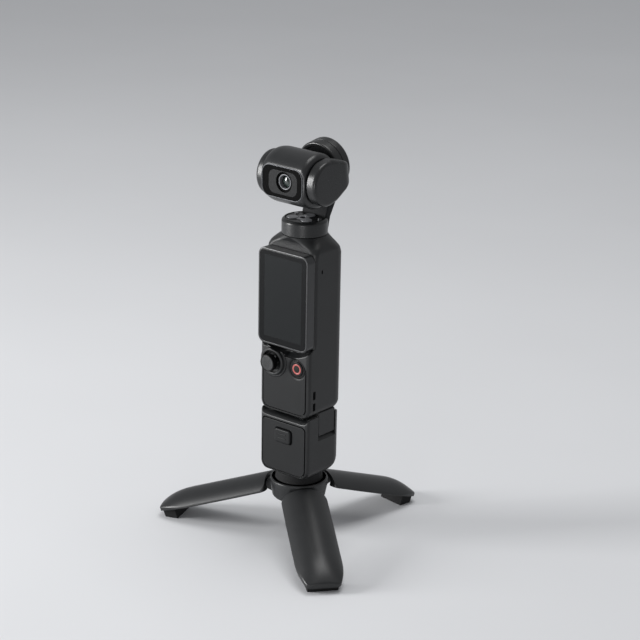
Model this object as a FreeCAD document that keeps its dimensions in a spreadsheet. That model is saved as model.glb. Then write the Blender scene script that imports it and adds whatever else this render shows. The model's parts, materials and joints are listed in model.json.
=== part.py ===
import FreeCAD, Part
import math
import os
import Sketcher

# A pocket gimbal camera that stands on a battery handle and a three-legged mini tripod.
# Millimetres, +Z up, the screen and the lens face -Y. The neck axis is the working centre of every
# size below; at the end the whole object is moved so that the origin is the middle of its footprint.

V = FreeCAD.Vector
doc = FreeCAD.newDocument("GimbalCamera")

SIZES = {
    # Where the whole object stands, set at the end from its footprint
    "stand_x": 0.0,
    "stand_y": 0.0,
    # Clearances
    "running_gap": 0.05,
    "fit_gap": 0.1,
    "moving_gap": 0.3,
    # Tripod hub
    "hub_y": -1.7,
    "hub_radius": 15.5,
    "hub_bottom_radius": 14.2,
    "hub_bottom": 22.0,
    "hub_taper_top": 29.5,
    "hub_top": 33.0,
    "hub_lip_radius": 14.3,
    "hub_lip_depth": 0.9,
    "pad_radius": 12.5,
    "screw_radius": 3.125,
    "screw_head_radius": 4.6,
    "screw_head_height": 2.4,
    "screw_top": 44.5,
    # Tripod legs
    "leg_yaw_front": -40.0,
    "leg_step": 120.0,
    "leg_slope": 20.0,
    "hinge_reach": 10.0,
    "hinge_height": 25.8,
    "hinge_pin_radius": 1.5,
    "hinge_pin_length": 12.0,
    "leg_wall": 2.0,
    "leg_rise": 3.2,
    "leg_edge": 2.1,
    "leg_root": 4.8,
    "leg_root_half_width": 12.4,
    "leg_root_round": 3.0,
    "leg_half_width": 12.6,
    "leg_narrowing": 52.0,
    "leg_hollow_end": 62.0,
    "leg_tip": 71.2,
    "leg_tip_half_width": 8.0,
    "leg_tip_drop": 3.9,
    "lug_half_width": 3.0,
    "lug_reach": 2.9,
    "lug_length": 14.0,
    "foot_start": 62.4,
    "foot_end": 69.4,
    "foot_half_width": 8.2,
    # Battery handle
    "grip_half_width": 16.5,
    "grip_front": -15.0,
    "grip_back": 13.5,
    "grip_bottom": 38.1,
    "grip_horn_top": 72.4,
    "grip_base_round": 4.5,
    "grip_back_round": 8.0,
    "grip_cavity_half_width": 12.8,
    "grip_cavity_bottom": 47.0,
    "grip_cavity_top": 67.6,
    "grip_front_wall": 2.2,
    "grip_back_wall": 1.8,
    "grip_plate_thick": 1.0,
    "grip_plate_half_width": 14.8,
    "grip_plate_bottom": 38.9,
    "grip_plate_top": 67.6,
    "plate_round": 4.2,
    "cradle_gap": 1.7,
    "release_half_width": 5.4,
    "release_bottom": 56.0,
    "release_top": 63.6,
    "release_proud": 1.3,
    "release_travel": 1.0,
    "clasp_front": -5.6,
    "clasp_back": 8.0,
    "clasp_bottom": 60.5,
    "clasp_depth": 2.2,
    "clasp_thick": 1.4,
    "clasp_top": 74.0,
    "clasp_pin_radius": 0.6,
    "insert_radius": 4.6,
    "insert_length": 7.5,
    "plug_y": -1.0,
    "plug_half_width": 4.15,
    "plug_half_depth": 1.2,
    # Camera body
    "body_half_width": 16.75,
    "body_bottom": 72.2,
    "body_back": 14.0,
    "cover_face": -10.9,
    "cover_screw_radius": 0.65,
    "block_face": -14.94,
    "body_wall": 1.5,
    "front_round": 2.2,
    "rear_round": 6.5,
    "base_round": 5.0,
    "base_rear_round": 6.0,
    "shoulder_low": 159.0,
    "shoulder_knee": 162.3,
    "shoulder_high": 165.8,
    "neck_seam": 168.85,
    "neck_radius": 12.06,
    "neck_bore": 9.0,
    "cavity_floor": 78.0,
    "base_floor": 74.2,
    "block_cavity_top": 103.0,
    "notch_top": 74.7,
    "control_plate_thick": 0.8,
    "control_half_width": 14.7,
    "control_bottom": 73.75,
    "control_top": 104.7,
    "control_round": 4.0,
    "control_button_round": 7.2,
    # Screen
    "screen_half_width": 16.75,
    "screen_half_height": 26.1,
    "screen_centre": 135.9,
    "screen_front": -17.0,
    "screen_back": -11.13,
    "screen_round": 4.0,
    "glass_half_width": 15.75,
    "glass_half_height": 25.3,
    "glass_thick": 0.8,
    "glass_round": 3.2,
    "panel_half_width": 13.6,
    "panel_half_height": 23.2,
    "panel_thick": 1.5,
    "sweep_radius": 29.55,
    "sweep_flare": 31.3,
    "screen_hub_radius": 5.0,
    "screen_hub_end": -6.4,
    # Joystick, record button and function key
    "stick_x": -7.4,
    "stick_z": 100.3,
    "stick_boss_radius": 7.5,
    "stick_flange_radius": 8.7,
    "stick_well_radius": 5.9,
    "stick_holder_radius": 5.9,
    "stick_holder_depth": 3.0,
    "stick_pivot": -1.4,
    "stick_cap_radius": 4.15,
    "stick_cap_low": 2.2,
    "stick_cap_face": 5.56,
    "stick_ring_radius": 4.5,
    "stick_pin_radius": 0.5,
    "stem_radius": 1.4,
    "record_x": 8.4,
    "record_z": 99.3,
    "record_dish_radius": 6.5,
    "record_well_radius": 5.3,
    "record_cap_radius": 4.0,
    "record_ring_outer": 2.8,
    "record_ring_inner": 2.0,
    "key_z": 107.8,
    "key_half_width": 5.15,
    "key_half_height": 0.95,
    "lamp_x": -10.0,
    "lamp_z": 109.0,
    # Pan arm
    "ring_gap": 0.25,
    "ring_edge": 175.6,
    "ring_top": 177.2,
    "ring_well_radius": 10.3,
    "ring_well_floor": 175.1,
    "neck_cap_top": 176.9,
    "clip_top": 177.4,
    "shaft_radius": 1.5,
    "column_half_width": 8.2,
    # Gimbal centre, where the tilt axis and the leaning roll axis meet
    "tilt_y": -5.0,
    "tilt_z": 199.4,
    "roll_lean": 8.5,
    "roll_radius": 13.6,
    "roll_rear_round": 1.5,
    "roll_wall": 1.6,
    "rotor_front": 15.3,
    "rotor_back": 20.2,
    "stator_front": 20.45,
    "stator_back": 25.6,
    "roll_cover_proud": 0.7,
    "arm_inner": 14.4,
    "arm_outer": 20.2,
    "arm_disc_radius": 11.8,
    "arm_taper_start": 5.0,
    "arm_tail": 5.4,
    "arm_elbow": 7.6,
    "arm_chamfer": 1.3,
    "tilt_motor_wall": 2.4,
    # Camera head
    "head_radius": 14.6,
    "head_left": -15.2,
    "head_left_radius": 12.2,
    "head_taper_start": -9.0,
    "head_right": 14.0,
    "head_flat": -12.4,
    "head_right_round": 3.0,
    "head_cap_radius": 12.0,
    "head_cap_left": -19.6,
    "head_cap_round": 3.2,
    "bezel_half_width": 13.05,
    "bezel_half_height": 8.05,
    "bezel_round": 5.0,
    "bezel_front": -12.9,
    "bezel_back": -10.9,
    "window_half_width": 9.6,
    "window_half_height": 5.95,
    "window_round": 4.0,
    "lens_radius": 5.45,
    "lens_bore": 4.0,
    "lens_ring_inner": 3.25,
}

sheet = doc.addObject("Spreadsheet::Sheet", "Sizes")
for row, (alias, number) in enumerate(SIZES.items(), start=1):
    sheet.set(f"A{row}", alias)
    sheet.set(f"B{row}", str(number))
    sheet.setAlias(f"B{row}", alias)
doc.recompute()


class Size:
    """A length or angle of the sheet, or one worked out from several, with the text that binds it."""

    def __init__(self, value, text):
        self.value = float(value)
        self.text = text

    def __add__(self, other):
        other = as_size(other)
        return Size(self.value + other.value, f"({self.text} + {other.text})")

    def __sub__(self, other):
        other = as_size(other)
        return Size(self.value - other.value, f"({self.text} - {other.text})")

    def __mul__(self, other):
        other = as_size(other)
        return Size(self.value * other.value, f"({self.text} * {other.text})")

    def __truediv__(self, other):
        other = as_size(other)
        return Size(self.value / other.value, f"({self.text} / {other.text})")

    def __neg__(self):
        return Size(-self.value, f"(0 - {self.text})")

    def __radd__(self, other):
        return as_size(other) + self

    def __rsub__(self, other):
        return as_size(other) - self

    def __rmul__(self, other):
        return as_size(other) * self


def as_size(number):
    """A plain number as a Size, and a Size as it is."""
    if isinstance(number, Size):
        return number
    return Size(number, repr(float(number)))


def cosine(angle):
    angle = as_size(angle)
    return Size(math.cos(math.radians(angle.value)), f"cos({angle.text})")


def sine(angle):
    angle = as_size(angle)
    return Size(math.sin(math.radians(angle.value)), f"sin({angle.text})")


def root(square):
    return Size(math.sqrt(square.value), f"sqrt({square.text})")


class Sheet:
    """Every alias of the spreadsheet as an attribute."""

    def __init__(self):
        for name, number in SIZES.items():
            setattr(self, name, Size(number, f"Sizes.{name}"))


d = Sheet()
SUBPARTS = []


def bind(thing, path, size):
    """Binds one property to the sheet, or sets it where it is a plain number."""
    size = as_size(size)
    if "Sizes." in size.text:
        thing.setExpression(path, size.text)
    else:
        target = thing
        *parents, last = path.split(".")
        for parent in parents:
            target = getattr(target, parent)
        setattr(target, last, size.value)


def hold(sketch, constraint, size):
    """Adds one dimension to a sketch and binds it to the sheet."""
    index = sketch.addConstraint(constraint)
    if "Sizes." in size.text:
        sketch.setExpression(f"Constraints[{index}]", size.text)


def hold_radius(sketch, geometry, radius):
    hold(sketch, Sketcher.Constraint("Radius", geometry, radius.value), radius)


def pin_point(sketch, geometry, point, x, y):
    """Fixes one point of a curve by its distances from the sketch's origin."""
    for kind, size in (("DistanceX", as_size(x)), ("DistanceY", as_size(y))):
        hold(sketch, Sketcher.Constraint(kind, -1, 1, geometry, point, size.value), size)


class Circle:
    """A round outline."""

    def __init__(self, x, y, radius):
        self.x = as_size(x)
        self.y = as_size(y)
        self.radius = as_size(radius)

    def draw(self, sketch):
        circle = Part.Circle(V(self.x.value, self.y.value, 0), V(0, 0, 1), self.radius.value)
        index = sketch.addGeometry(circle)
        pin_point(sketch, index, 3, self.x, self.y)
        hold_radius(sketch, index, self.radius)


class Outline:
    """A closed outline of straight runs; a corner between two square runs may have a radius."""

    def __init__(self, corners):
        self.corners = [tuple(as_size(n) for n in corner) for corner in corners]

    def draw(self, sketch):
        count = len(self.corners)
        ends = []
        for i, corner in enumerate(self.corners):
            before = self.corners[i - 1]
            after = self.corners[(i + 1) % count]
            ends.append(self.corner_ends(corner, before, after))
        lines = []
        for i in range(count):
            start = ends[i][1]
            stop = ends[(i + 1) % count][0]
            line = Part.LineSegment(
                V(start[0].value, start[1].value, 0), V(stop[0].value, stop[1].value, 0)
            )
            index = sketch.addGeometry(line)
            lines.append(index)
            pin_point(sketch, index, 1, *start)
        for i in range(count):
            into = lines[i - 1]
            out = lines[i]
            if len(self.corners[i]) == 2:
                sketch.addConstraint(Sketcher.Constraint("Coincident", into, 2, out, 1))
            else:
                self.draw_corner(sketch, self.corners[i], ends[i], into, out)

    @staticmethod
    def corner_ends(corner, before, after):
        """Where the runs before and after a corner end, each a pair of Sizes."""
        if len(corner) == 2:
            return (corner, corner)
        x, y, radius = corner
        ways = [Outline.way(x, y, other) for other in (before, after)]
        (ax, ay), (bx, by) = ways
        square = abs(ax.value * bx.value + ay.value * by.value) < 1e-9
        if square:
            cut = radius
        else:
            cosine_between = ax * bx + ay * by
            cut = radius * root((1.0 + cosine_between) / (1.0 - cosine_between))
        return [(x + way_x * cut, y + way_y * cut) for way_x, way_y in ways]

    @staticmethod
    def way(x, y, other):
        """The unit step from a corner towards another one."""
        dx = other[0] - x
        dy = other[1] - y
        if abs(dy.value) < 1e-9:
            return (as_size(math.copysign(1.0, dx.value)), as_size(0.0))
        if abs(dx.value) < 1e-9:
            return (as_size(0.0), as_size(math.copysign(1.0, dy.value)))
        length = root(dx * dx + dy * dy)
        return (dx / length, dy / length)

    @staticmethod
    def draw_corner(sketch, corner, ends, into, out):
        (ax, ay), (bx, by) = ends
        x, y, radius = corner
        spot = V(x.value, y.value, 0)
        first_way = V(ax.value, ay.value, 0) - spot
        last_way = V(bx.value, by.value, 0) - spot
        middle = first_way + last_way
        reach = math.hypot(first_way.Length, radius.value)
        centre = spot + middle * (reach / middle.Length)
        start = V(ax.value, ay.value, 0) - centre
        stop = V(bx.value, by.value, 0) - centre
        first = math.atan2(start.y, start.x)
        last = math.atan2(stop.y, stop.x)
        forward = start.cross(stop).z > 0
        if not forward:
            first, last = last, first
        circle = Part.Circle(centre, V(0, 0, 1), radius.value)
        arc = sketch.addGeometry(Part.ArcOfCircle(circle, first, last))
        entry, exit_point = (1, 2) if forward else (2, 1)
        sketch.addConstraint(Sketcher.Constraint("Coincident", into, 2, arc, entry))
        sketch.addConstraint(Sketcher.Constraint("Coincident", out, 1, arc, exit_point))
        pin_point(sketch, arc, entry, ax, ay)
        hold_radius(sketch, arc, radius)


def box(left, right, low, high, radius=None):
    """A rectangle, sharp, or with one radius, or with one each from low left anticlockwise."""
    spots = [(left, low), (right, low), (right, high), (left, high)]
    if radius is None:
        return Outline(spots)
    radii = radius if isinstance(radius, (list, tuple)) else [radius] * 4
    corners = [spot if r is None else (*spot, r) for spot, r in zip(spots, radii)]
    return Outline(corners)


def new_body(name):
    body = doc.addObject("PartDesign::Body", name)
    body.Label = name
    SUBPARTS.append(body)
    return body


def sketch_in(body, plane, offset, *shapes):
    """A sketch on one of the body's own origin planes, moved along that plane's normal."""
    sketch = body.newObject("Sketcher::SketchObject", f"{body.Name}_sketch")
    origin_plane = [f for f in body.Origin.OriginFeatures if f.Role == f"{plane}_Plane"][0]
    sketch.AttachmentSupport = (origin_plane, [""])
    sketch.MapMode = "FlatFace"
    offset = as_size(offset)
    sketch.AttachmentOffset = FreeCAD.Placement(V(0, 0, offset.value), FreeCAD.Rotation())
    bind(sketch, "AttachmentOffset.Base.z", offset)
    for shape in shapes:
        shape.draw(sketch)
    return sketch


def pad(body, plane, low, high, *shapes):
    """Material between two levels along the plane's axis; XZ sketches look along -Y."""
    low = as_size(low)
    high = as_size(high)
    offset = -high if plane == "XZ" else low
    feature = body.newObject("PartDesign::Pad", f"{body.Name}_pad")
    feature.Profile = sketch_in(body, plane, offset, *shapes)
    bind(feature, "Length", high - low)
    doc.recompute()
    return feature


def pocket(body, plane, low, high, *shapes):
    """A cut between two levels along the plane's axis."""
    low = as_size(low)
    high = as_size(high)
    offset = -low if plane == "XZ" else high
    feature = body.newObject("PartDesign::Pocket", f"{body.Name}_pocket")
    feature.Profile = sketch_in(body, plane, offset, *shapes)
    bind(feature, "Length", high - low)
    volume = body.Shape.Volume
    doc.recompute()
    if not body.Shape.Volume < volume - 1e-6:
        raise RuntimeError(f"{feature.Name} cuts nothing")
    return feature


def trim(body, plane, low, high, outline):
    """Cuts away whatever lies outside an outline, seen along the plane's axis."""
    far = 150.0
    frame = box(-far, far, -far, 2 * far)
    return pocket(body, plane, low, high, frame, outline)


def turned(body, *shapes):
    """A full turn of a profile, radius across and height up, about the body's own Z axis."""
    feature = body.newObject("PartDesign::Revolution", f"{body.Name}_turn")
    sketch = sketch_in(body, "XZ", 0, *shapes)
    feature.Profile = sketch
    feature.ReferenceAxis = (sketch, ["V_Axis"])
    feature.Angle = 360
    doc.recompute()
    return feature


def edge_names(body, test):
    shape = body.Tip.Shape
    return [f"Edge{i}" for i, edge in enumerate(shape.Edges, start=1) if test(edge)]


def groove(body, plane, offset, outline, start, stop):
    """Turns an outline once round the line from start to stop and cuts it away."""
    sketch = sketch_in(body, plane, offset, outline)
    ends = [V(as_size(end[0]).value, as_size(end[1]).value, 0) for end in (start, stop)]
    index = sketch.addGeometry(Part.LineSegment(*ends), True)
    pin_point(sketch, index, 1, *start)
    pin_point(sketch, index, 2, *stop)
    feature = body.newObject("PartDesign::Groove", f"{body.Name}_groove")
    feature.Profile = sketch
    feature.ReferenceAxis = (sketch, ["Axis0"])
    feature.Angle = 360
    volume = body.Shape.Volume
    doc.recompute()
    if not body.Shape.Volume < volume - 1e-6:
        raise RuntimeError(f"{feature.Name} cuts nothing")
    return feature


def finish_edges(body, kind, size, test):
    """A fillet or chamfer on every edge of the body that passes the test."""
    names = edge_names(body, test)
    if not names:
        raise RuntimeError(f"{body.Name} has no edge to finish")
    base = body.Tip
    feature = body.newObject(f"PartDesign::{kind}", f"{body.Name}_{kind.lower()}")
    feature.Base = (base, names)
    bind(feature, "Radius" if kind == "Fillet" else "Size", size)
    doc.recompute()
    return feature


def lies_at(axis, size, slack=0.01):
    """A test for edges that lie wholly at one level along an axis."""

    def test(edge):
        bounds = edge.BoundBox
        low = getattr(bounds, f"{axis}Min")
        high = getattr(bounds, f"{axis}Max")
        return abs(low - size.value) < slack and abs(high - size.value) < slack

    return test


def rotation_of(turns):
    """Turns about the fixed axes, one after the other, as a single rotation."""
    rotation = FreeCAD.Rotation()
    for axis, angle in turns:
        rotation = FreeCAD.Rotation(axis, as_size(angle).value).multiply(rotation)
    return rotation


def stand_at(thing, base, turns):
    """Turns a thing and binds its base point."""
    thing.Placement = FreeCAD.Placement(V(0, 0, 0), rotation_of(turns))
    for axis, size in zip("xyz", base):
        bind(thing, f"Placement.Base.{axis}", size)


def place(thing, x=0.0, y=0.0, z=0.0, turns=()):
    """Puts a sub-part in the standing object: turns in order, then the move."""
    stand_at(thing, (d.stand_x + x, d.stand_y + y, as_size(z)), turns)


def place_group(group):
    place(group)
    SUBPARTS.append(group)


TO_FRONT = (V(1, 0, 0), 90)
X_AXIS = V(1, 0, 0)
Y_AXIS = V(0, 1, 0)
Z_AXIS = V(0, 0, 1)


def cylinder(name, radius, length, base, turns=()):
    """A plain cylinder from its base point along its turned axis."""
    solid = doc.addObject("Part::Cylinder", name)
    bind(solid, "Radius", radius)
    bind(solid, "Height", length)
    stand_at(solid, base, turns)
    return solid


def compound(name, solids):
    group = doc.addObject("Part::Compound", name)
    group.Label = name
    group.Links = solids
    doc.recompute()
    place_group(group)
    return group


def screw(name, head_radius, head_height, shank_radius, length, base, turns=()):
    """A screw whose head starts at its base point; the shank runs the other way along the axis."""
    head = cylinder(f"{name}_head", head_radius, head_height, (0, 0, 0))
    shank = cylinder(f"{name}_shank", shank_radius, length, (0, 0, -as_size(length)))
    joined = doc.addObject("Part::Fuse", name)
    joined.Base = head
    joined.Tool = shank
    stand_at(joined, base, turns)
    return joined


# Tripod


LEG_TURNS = {"front": 0, "right": 1, "left": 2}


def leg_yaw(name):
    return d.leg_yaw_front + d.leg_step * LEG_TURNS[name]


def tripod_hub():
    """The hub: a drum that tapers to its foot, with a slot and a cross hole for each leg."""
    body = new_body("tripod_hub")
    lip = d.hub_top - d.hub_lip_depth
    turned(
        body,
        Outline([
            (d.screw_radius + d.fit_gap, d.hub_bottom + d.screw_head_height),
            (d.screw_head_radius + d.fit_gap, d.hub_bottom + d.screw_head_height),
            (d.screw_head_radius + d.fit_gap, d.hub_bottom),
            (d.hub_bottom_radius - 1.0, d.hub_bottom),
            (d.hub_bottom_radius, d.hub_bottom + 1.0),
            (d.hub_radius, d.hub_taper_top),
            (d.hub_radius, d.hub_top - 0.6),
            (d.hub_radius - 0.6, d.hub_top),
            (d.hub_lip_radius, d.hub_top),
            (d.hub_lip_radius - 0.5, lip),
            (d.screw_radius + d.fit_gap, lip),
        ]),
    )
    slot_wall = d.hinge_reach - d.lug_reach * math.sqrt(2.0) - d.moving_gap
    slot_top = d.hinge_height + d.lug_reach * math.sqrt(2.0) + d.moving_gap
    slot_half = d.lug_half_width + d.moving_gap
    slot = pocket(
        body, "XY", d.hub_bottom - 1.0, slot_top, box(slot_wall, d.hub_radius + 2, -slot_half, slot_half)
    )
    hole = pocket(
        body,
        "XZ",
        -d.hinge_pin_length / 2,
        d.hinge_pin_length / 2,
        Circle(d.hinge_reach, d.hinge_height, d.hinge_pin_radius + d.fit_gap / 4),
    )
    pattern = body.newObject("PartDesign::PolarPattern", "tripod_hub_pattern")
    pattern.Originals = [slot, hole]
    pattern.Axis = ([f for f in body.Origin.OriginFeatures if f.Role == "Z_Axis"][0], [""])
    pattern.Angle = 360
    pattern.Occurrences = 3
    body.Tip = pattern
    doc.recompute()
    place(body, y=d.hub_y, turns=[(Z_AXIS, d.leg_yaw_front)])


def tripod_screw():
    """The quarter-inch screw that holds the handle on the hub."""
    body = new_body("tripod_screw")
    turned(
        body,
        Outline([
            (0, d.hub_bottom + 0.1),
            (d.screw_head_radius - 0.4, d.hub_bottom + 0.1),
            (d.screw_head_radius, d.hub_bottom + 0.5),
            (d.screw_head_radius, d.hub_bottom + d.screw_head_height),
            (d.screw_radius, d.hub_bottom + d.screw_head_height),
            (d.screw_radius, d.screw_top - 0.6),
            (d.screw_radius - 0.6, d.screw_top),
            (0, d.screw_top),
        ]),
    )
    across = 2.0
    pocket(
        body,
        "XY",
        d.hub_bottom,
        d.hub_bottom + 1.3,
        box(-across / 4, across / 4, -d.screw_head_radius - 1, d.screw_head_radius + 1),
    )
    place(body, y=d.hub_y)


def hub_pad():
    """The rubber friction ring between the hub and the handle."""
    body = new_body("hub_pad")
    floor = d.hub_top - d.hub_lip_depth
    top = d.grip_bottom - d.ring_gap
    bore = d.screw_radius + d.moving_gap
    turned(
        body,
        Outline([
            (bore, floor),
            (d.pad_radius + 0.6, floor),
            (d.pad_radius, d.hub_top + 1.0),
            (d.pad_radius, top - 0.5),
            (d.pad_radius - 0.5, top),
            (bore, top),
        ]),
    )
    place(body, y=d.hub_y)


def hinge_pins():
    """One steel pin for each leg, across its slot."""
    pins = []
    half = d.hinge_pin_length / 2 - d.fit_gap
    for name in LEG_TURNS:
        yaw = leg_yaw(name)
        x = d.hinge_reach * cosine(yaw) - half * sine(yaw)
        y = d.hinge_reach * sine(yaw) + half * cosine(yaw)
        pins.append(
            cylinder(
                f"hinge_pin_{name}",
                d.hinge_pin_radius,
                half * 2,
                (x, y + d.hub_y, d.hinge_height),
                [TO_FRONT, (Z_AXIS, yaw)],
            )
        )
    compound("hinge_pins", pins)


def place_leg_piece(body, name):
    yaw = leg_yaw(name)
    place(
        body,
        x=d.hinge_reach * cosine(yaw),
        y=d.hinge_reach * sine(yaw) + d.hub_y,
        z=d.hinge_height,
        turns=[(Y_AXIS, d.leg_slope), (Z_AXIS, yaw)],
    )


def tripod_leg(name):
    """A curved leg shell in its own frame: the hinge pin at the origin, the leg along +X.

    The shell is an arc of the hub's radius. Its ridge runs straight from the root and bends down
    to a closed tip, and its sides draw in towards the tip.
    """
    body = new_body(f"leg_{name}")
    centre = d.leg_rise - d.hinge_reach
    ridge = centre + d.hub_radius
    tip = d.leg_tip
    pad(body, "YZ", d.leg_root, tip, Circle(0, centre, d.hub_radius))
    wide = d.leg_half_width
    side = [
        (d.leg_narrowing, wide),
        (tip - 9.5, wide - 0.8),
        (tip - 3.4, wide - 2.4),
        (tip, d.leg_tip_half_width),
    ]
    plan = [(d.leg_root, -d.leg_root_half_width, d.leg_root_round)]
    plan += [(x, -y) for x, y in side]
    plan += side[::-1]
    plan.append((d.leg_root, d.leg_root_half_width, d.leg_root_round))
    trim(body, "XY", -30, 12, Outline(plan))
    trim(
        body,
        "XZ",
        -20,
        20,
        Outline([
            (d.leg_root - 1, d.leg_edge),
            (tip + 1, d.leg_edge),
            (tip + 1, ridge - d.leg_tip_drop - 0.5),
            (tip, ridge - d.leg_tip_drop),
            (tip - 2.3, ridge - 2.8),
            (tip - 5.7, ridge - 1.7),
            (tip - 9.9, ridge - 0.7),
            (tip - 13.9, ridge - 0.2),
            (tip - 17.9, ridge + 0.6),
            (d.leg_root - 1, ridge + 0.6),
        ]),
    )
    inner = d.hub_radius - d.leg_wall
    pocket(body, "YZ", d.leg_root - 1, d.leg_hollow_end, Circle(0, centre, inner))
    foot_half = d.foot_half_width + d.running_gap
    pocket(
        body,
        "XY",
        d.leg_edge - 1,
        d.leg_edge + 1.2,
        box(d.leg_hollow_end - 1, d.foot_end + d.running_gap, -foot_half, foot_half),
    )
    lug_top = ridge - d.leg_wall + 0.8
    pad(
        body,
        "XZ",
        -d.lug_half_width,
        d.lug_half_width,
        Outline([
            (-d.lug_reach, -d.lug_reach * 0.7),
            (-d.lug_reach * 0.7, -d.lug_reach),
            (d.lug_reach, -d.lug_reach),
            (d.lug_length, lug_top - 1.2),
            (d.lug_length, lug_top),
            (d.leg_root + 1.7, lug_top),
            (d.lug_reach * 0.7, d.lug_reach),
            (-d.lug_reach * 0.7, d.lug_reach),
            (-d.lug_reach, d.lug_reach * 0.7),
        ]),
    )
    pocket(
        body,
        "XZ",
        -d.lug_half_width - 1,
        d.lug_half_width + 1,
        Circle(0, 0, d.hinge_pin_radius + d.running_gap),
    )
    place_leg_piece(body, name)


def leg_foot(name):
    """The rubber foot under a leg's tip, cut flat where it meets the floor."""
    body = new_body(f"foot_{name}")

    def floor_level(x):
        return (x * sine(d.leg_slope) - d.hinge_height) / cosine(d.leg_slope)

    top = d.leg_edge + 1.1
    pad(
        body,
        "XZ",
        -d.foot_half_width,
        d.foot_half_width,
        Outline([
            (d.foot_start, floor_level(d.foot_start)),
            (d.foot_end, floor_level(d.foot_end)),
            (d.foot_end, top),
            (d.foot_start, top),
        ]),
    )
    place_leg_piece(body, name)


# Battery handle


def mirrored(body, feature_list):
    """Repeats features on the other side of the YZ plane."""
    mirror = body.newObject("PartDesign::Mirrored", f"{body.Name}_mirror")
    mirror.Originals = feature_list
    mirror.MirrorPlane = ([f for f in body.Origin.OriginFeatures if f.Role == "YZ_Plane"][0], [""])
    body.Tip = mirror
    doc.recompute()


def body_corners():
    """The corner radii seen from above: tight in front, wide behind."""
    return [d.front_round, d.front_round, d.rear_round, d.rear_round]


def grip_shell():
    """The handle's casing: rounded outside, a cradle on top, side recesses for the clasps."""
    body = new_body("grip_shell")
    wide = d.grip_half_width
    pad(
        body,
        "XY",
        d.grip_bottom,
        d.grip_horn_top,
        box(-wide, wide, d.grip_front, d.grip_back, body_corners()),
    )
    beyond = 3.0
    trim(
        body,
        "XZ",
        d.grip_front - beyond,
        d.grip_back + beyond,
        box(
            -wide,
            wide,
            d.grip_bottom,
            d.grip_horn_top + beyond,
            [d.grip_base_round, d.grip_base_round, None, None],
        ),
    )
    trim(
        body,
        "YZ",
        -wide - beyond,
        wide + beyond,
        box(
            d.grip_front,
            d.grip_back,
            d.grip_bottom,
            d.grip_horn_top + beyond,
            [None, d.grip_back_round, None, None],
        ),
    )
    cradle = d.body_half_width + d.cradle_gap
    cradle_round = d.base_round + d.cradle_gap
    pocket(
        body,
        "XZ",
        d.grip_front - beyond,
        d.grip_back + beyond,
        box(
            -cradle,
            cradle,
            d.body_bottom - d.cradle_gap,
            d.grip_horn_top + beyond,
            [cradle_round, cradle_round, None, None],
        ),
    )
    rim = d.body_bottom - d.cradle_gap
    front_slope = 1.8
    pocket(
        body,
        "YZ",
        -wide - beyond,
        wide + beyond,
        Outline([
            (d.grip_front - 1, rim - front_slope - 0.6),
            (d.grip_front, rim - front_slope - 0.6),
            (d.grip_front + front_slope, rim),
            (d.grip_front + front_slope, rim + beyond),
            (d.grip_front - 1, rim + beyond),
        ]),
    )
    # Cavity, with a window in front under the inlaid plate
    half = d.grip_cavity_half_width
    pocket(
        body,
        "XY",
        d.grip_cavity_bottom,
        d.grip_cavity_top,
        box(-half, half, d.grip_front + d.grip_front_wall, d.grip_back - d.grip_back_wall, 3.0),
    )
    plate = d.grip_plate_half_width
    pocket(
        body,
        "XZ",
        d.grip_front - 1,
        d.grip_front + d.grip_plate_thick,
        box(
            -plate,
            plate,
            d.grip_plate_bottom,
            d.grip_plate_top,
            [d.plate_round, d.plate_round, d.front_round, d.front_round],
        ),
    )
    pocket(
        body,
        "XZ",
        d.grip_front,
        d.grip_front + d.grip_front_wall + 1,
        box(
            -half + 2,
            half - 2,
            d.grip_cavity_bottom + 1,
            d.grip_cavity_top - 2,
            2.0,
        ),
    )
    # Clasp recess with its sloping ledge, and the holes for the clasp's pin
    deep = d.clasp_depth
    recess = pocket(
        body,
        "XZ",
        d.clasp_front,
        d.clasp_back,
        Outline([
            (wide - deep, d.clasp_bottom),
            (wide + 1, d.clasp_bottom - deep - 1),
            (wide + 1, d.grip_horn_top + 1),
            (wide - deep, d.grip_horn_top + 1),
        ]),
    )
    pin_x, pin_z = clasp_axis()
    pin_hole = pocket(
        body,
        "XZ",
        d.clasp_front - 2,
        d.clasp_back + 2,
        Circle(pin_x, pin_z, d.clasp_pin_radius + d.fit_gap / 4),
    )
    mirrored(body, [recess, pin_hole])
    # Threaded insert from below, and the way up for the plug
    pocket(
        body,
        "XY",
        d.grip_bottom,
        d.grip_bottom + d.insert_length + 0.2,
        Circle(0, d.hub_y, d.insert_radius + d.fit_gap / 2),
    )
    pocket(body, "XY", d.grip_cavity_top - 1, d.grip_horn_top, plug_outline(d.fit_gap, 1.25))
    place(body)


def clasp_axis():
    """The clasp's pin, in the middle of its plate, just above the recess's ledge."""
    return (d.grip_half_width - d.clasp_depth / 2, d.clasp_bottom + 1.4)


def grip_front_plate():
    """The thin plate inlaid in the handle's front, open round the release button."""
    body = new_body("grip_front_plate")
    gap = d.fit_gap / 2
    half = d.grip_plate_half_width - gap
    pad(
        body,
        "XZ",
        d.grip_front,
        d.grip_front + d.grip_plate_thick,
        box(
            -half,
            half,
            d.grip_plate_bottom + gap,
            d.grip_plate_top - gap,
            [d.plate_round, d.plate_round, d.front_round, d.front_round],
        ),
    )
    side = d.release_half_width + d.moving_gap
    pocket(
        body,
        "XZ",
        d.grip_front - 1,
        d.grip_front + d.grip_plate_thick + 1,
        box(-side, side, d.release_bottom - d.moving_gap, d.release_top + d.moving_gap, 1.6),
    )
    finish_edges(body, "Chamfer", 0.2, lies_at("Y", d.grip_front))
    place(body)


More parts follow.
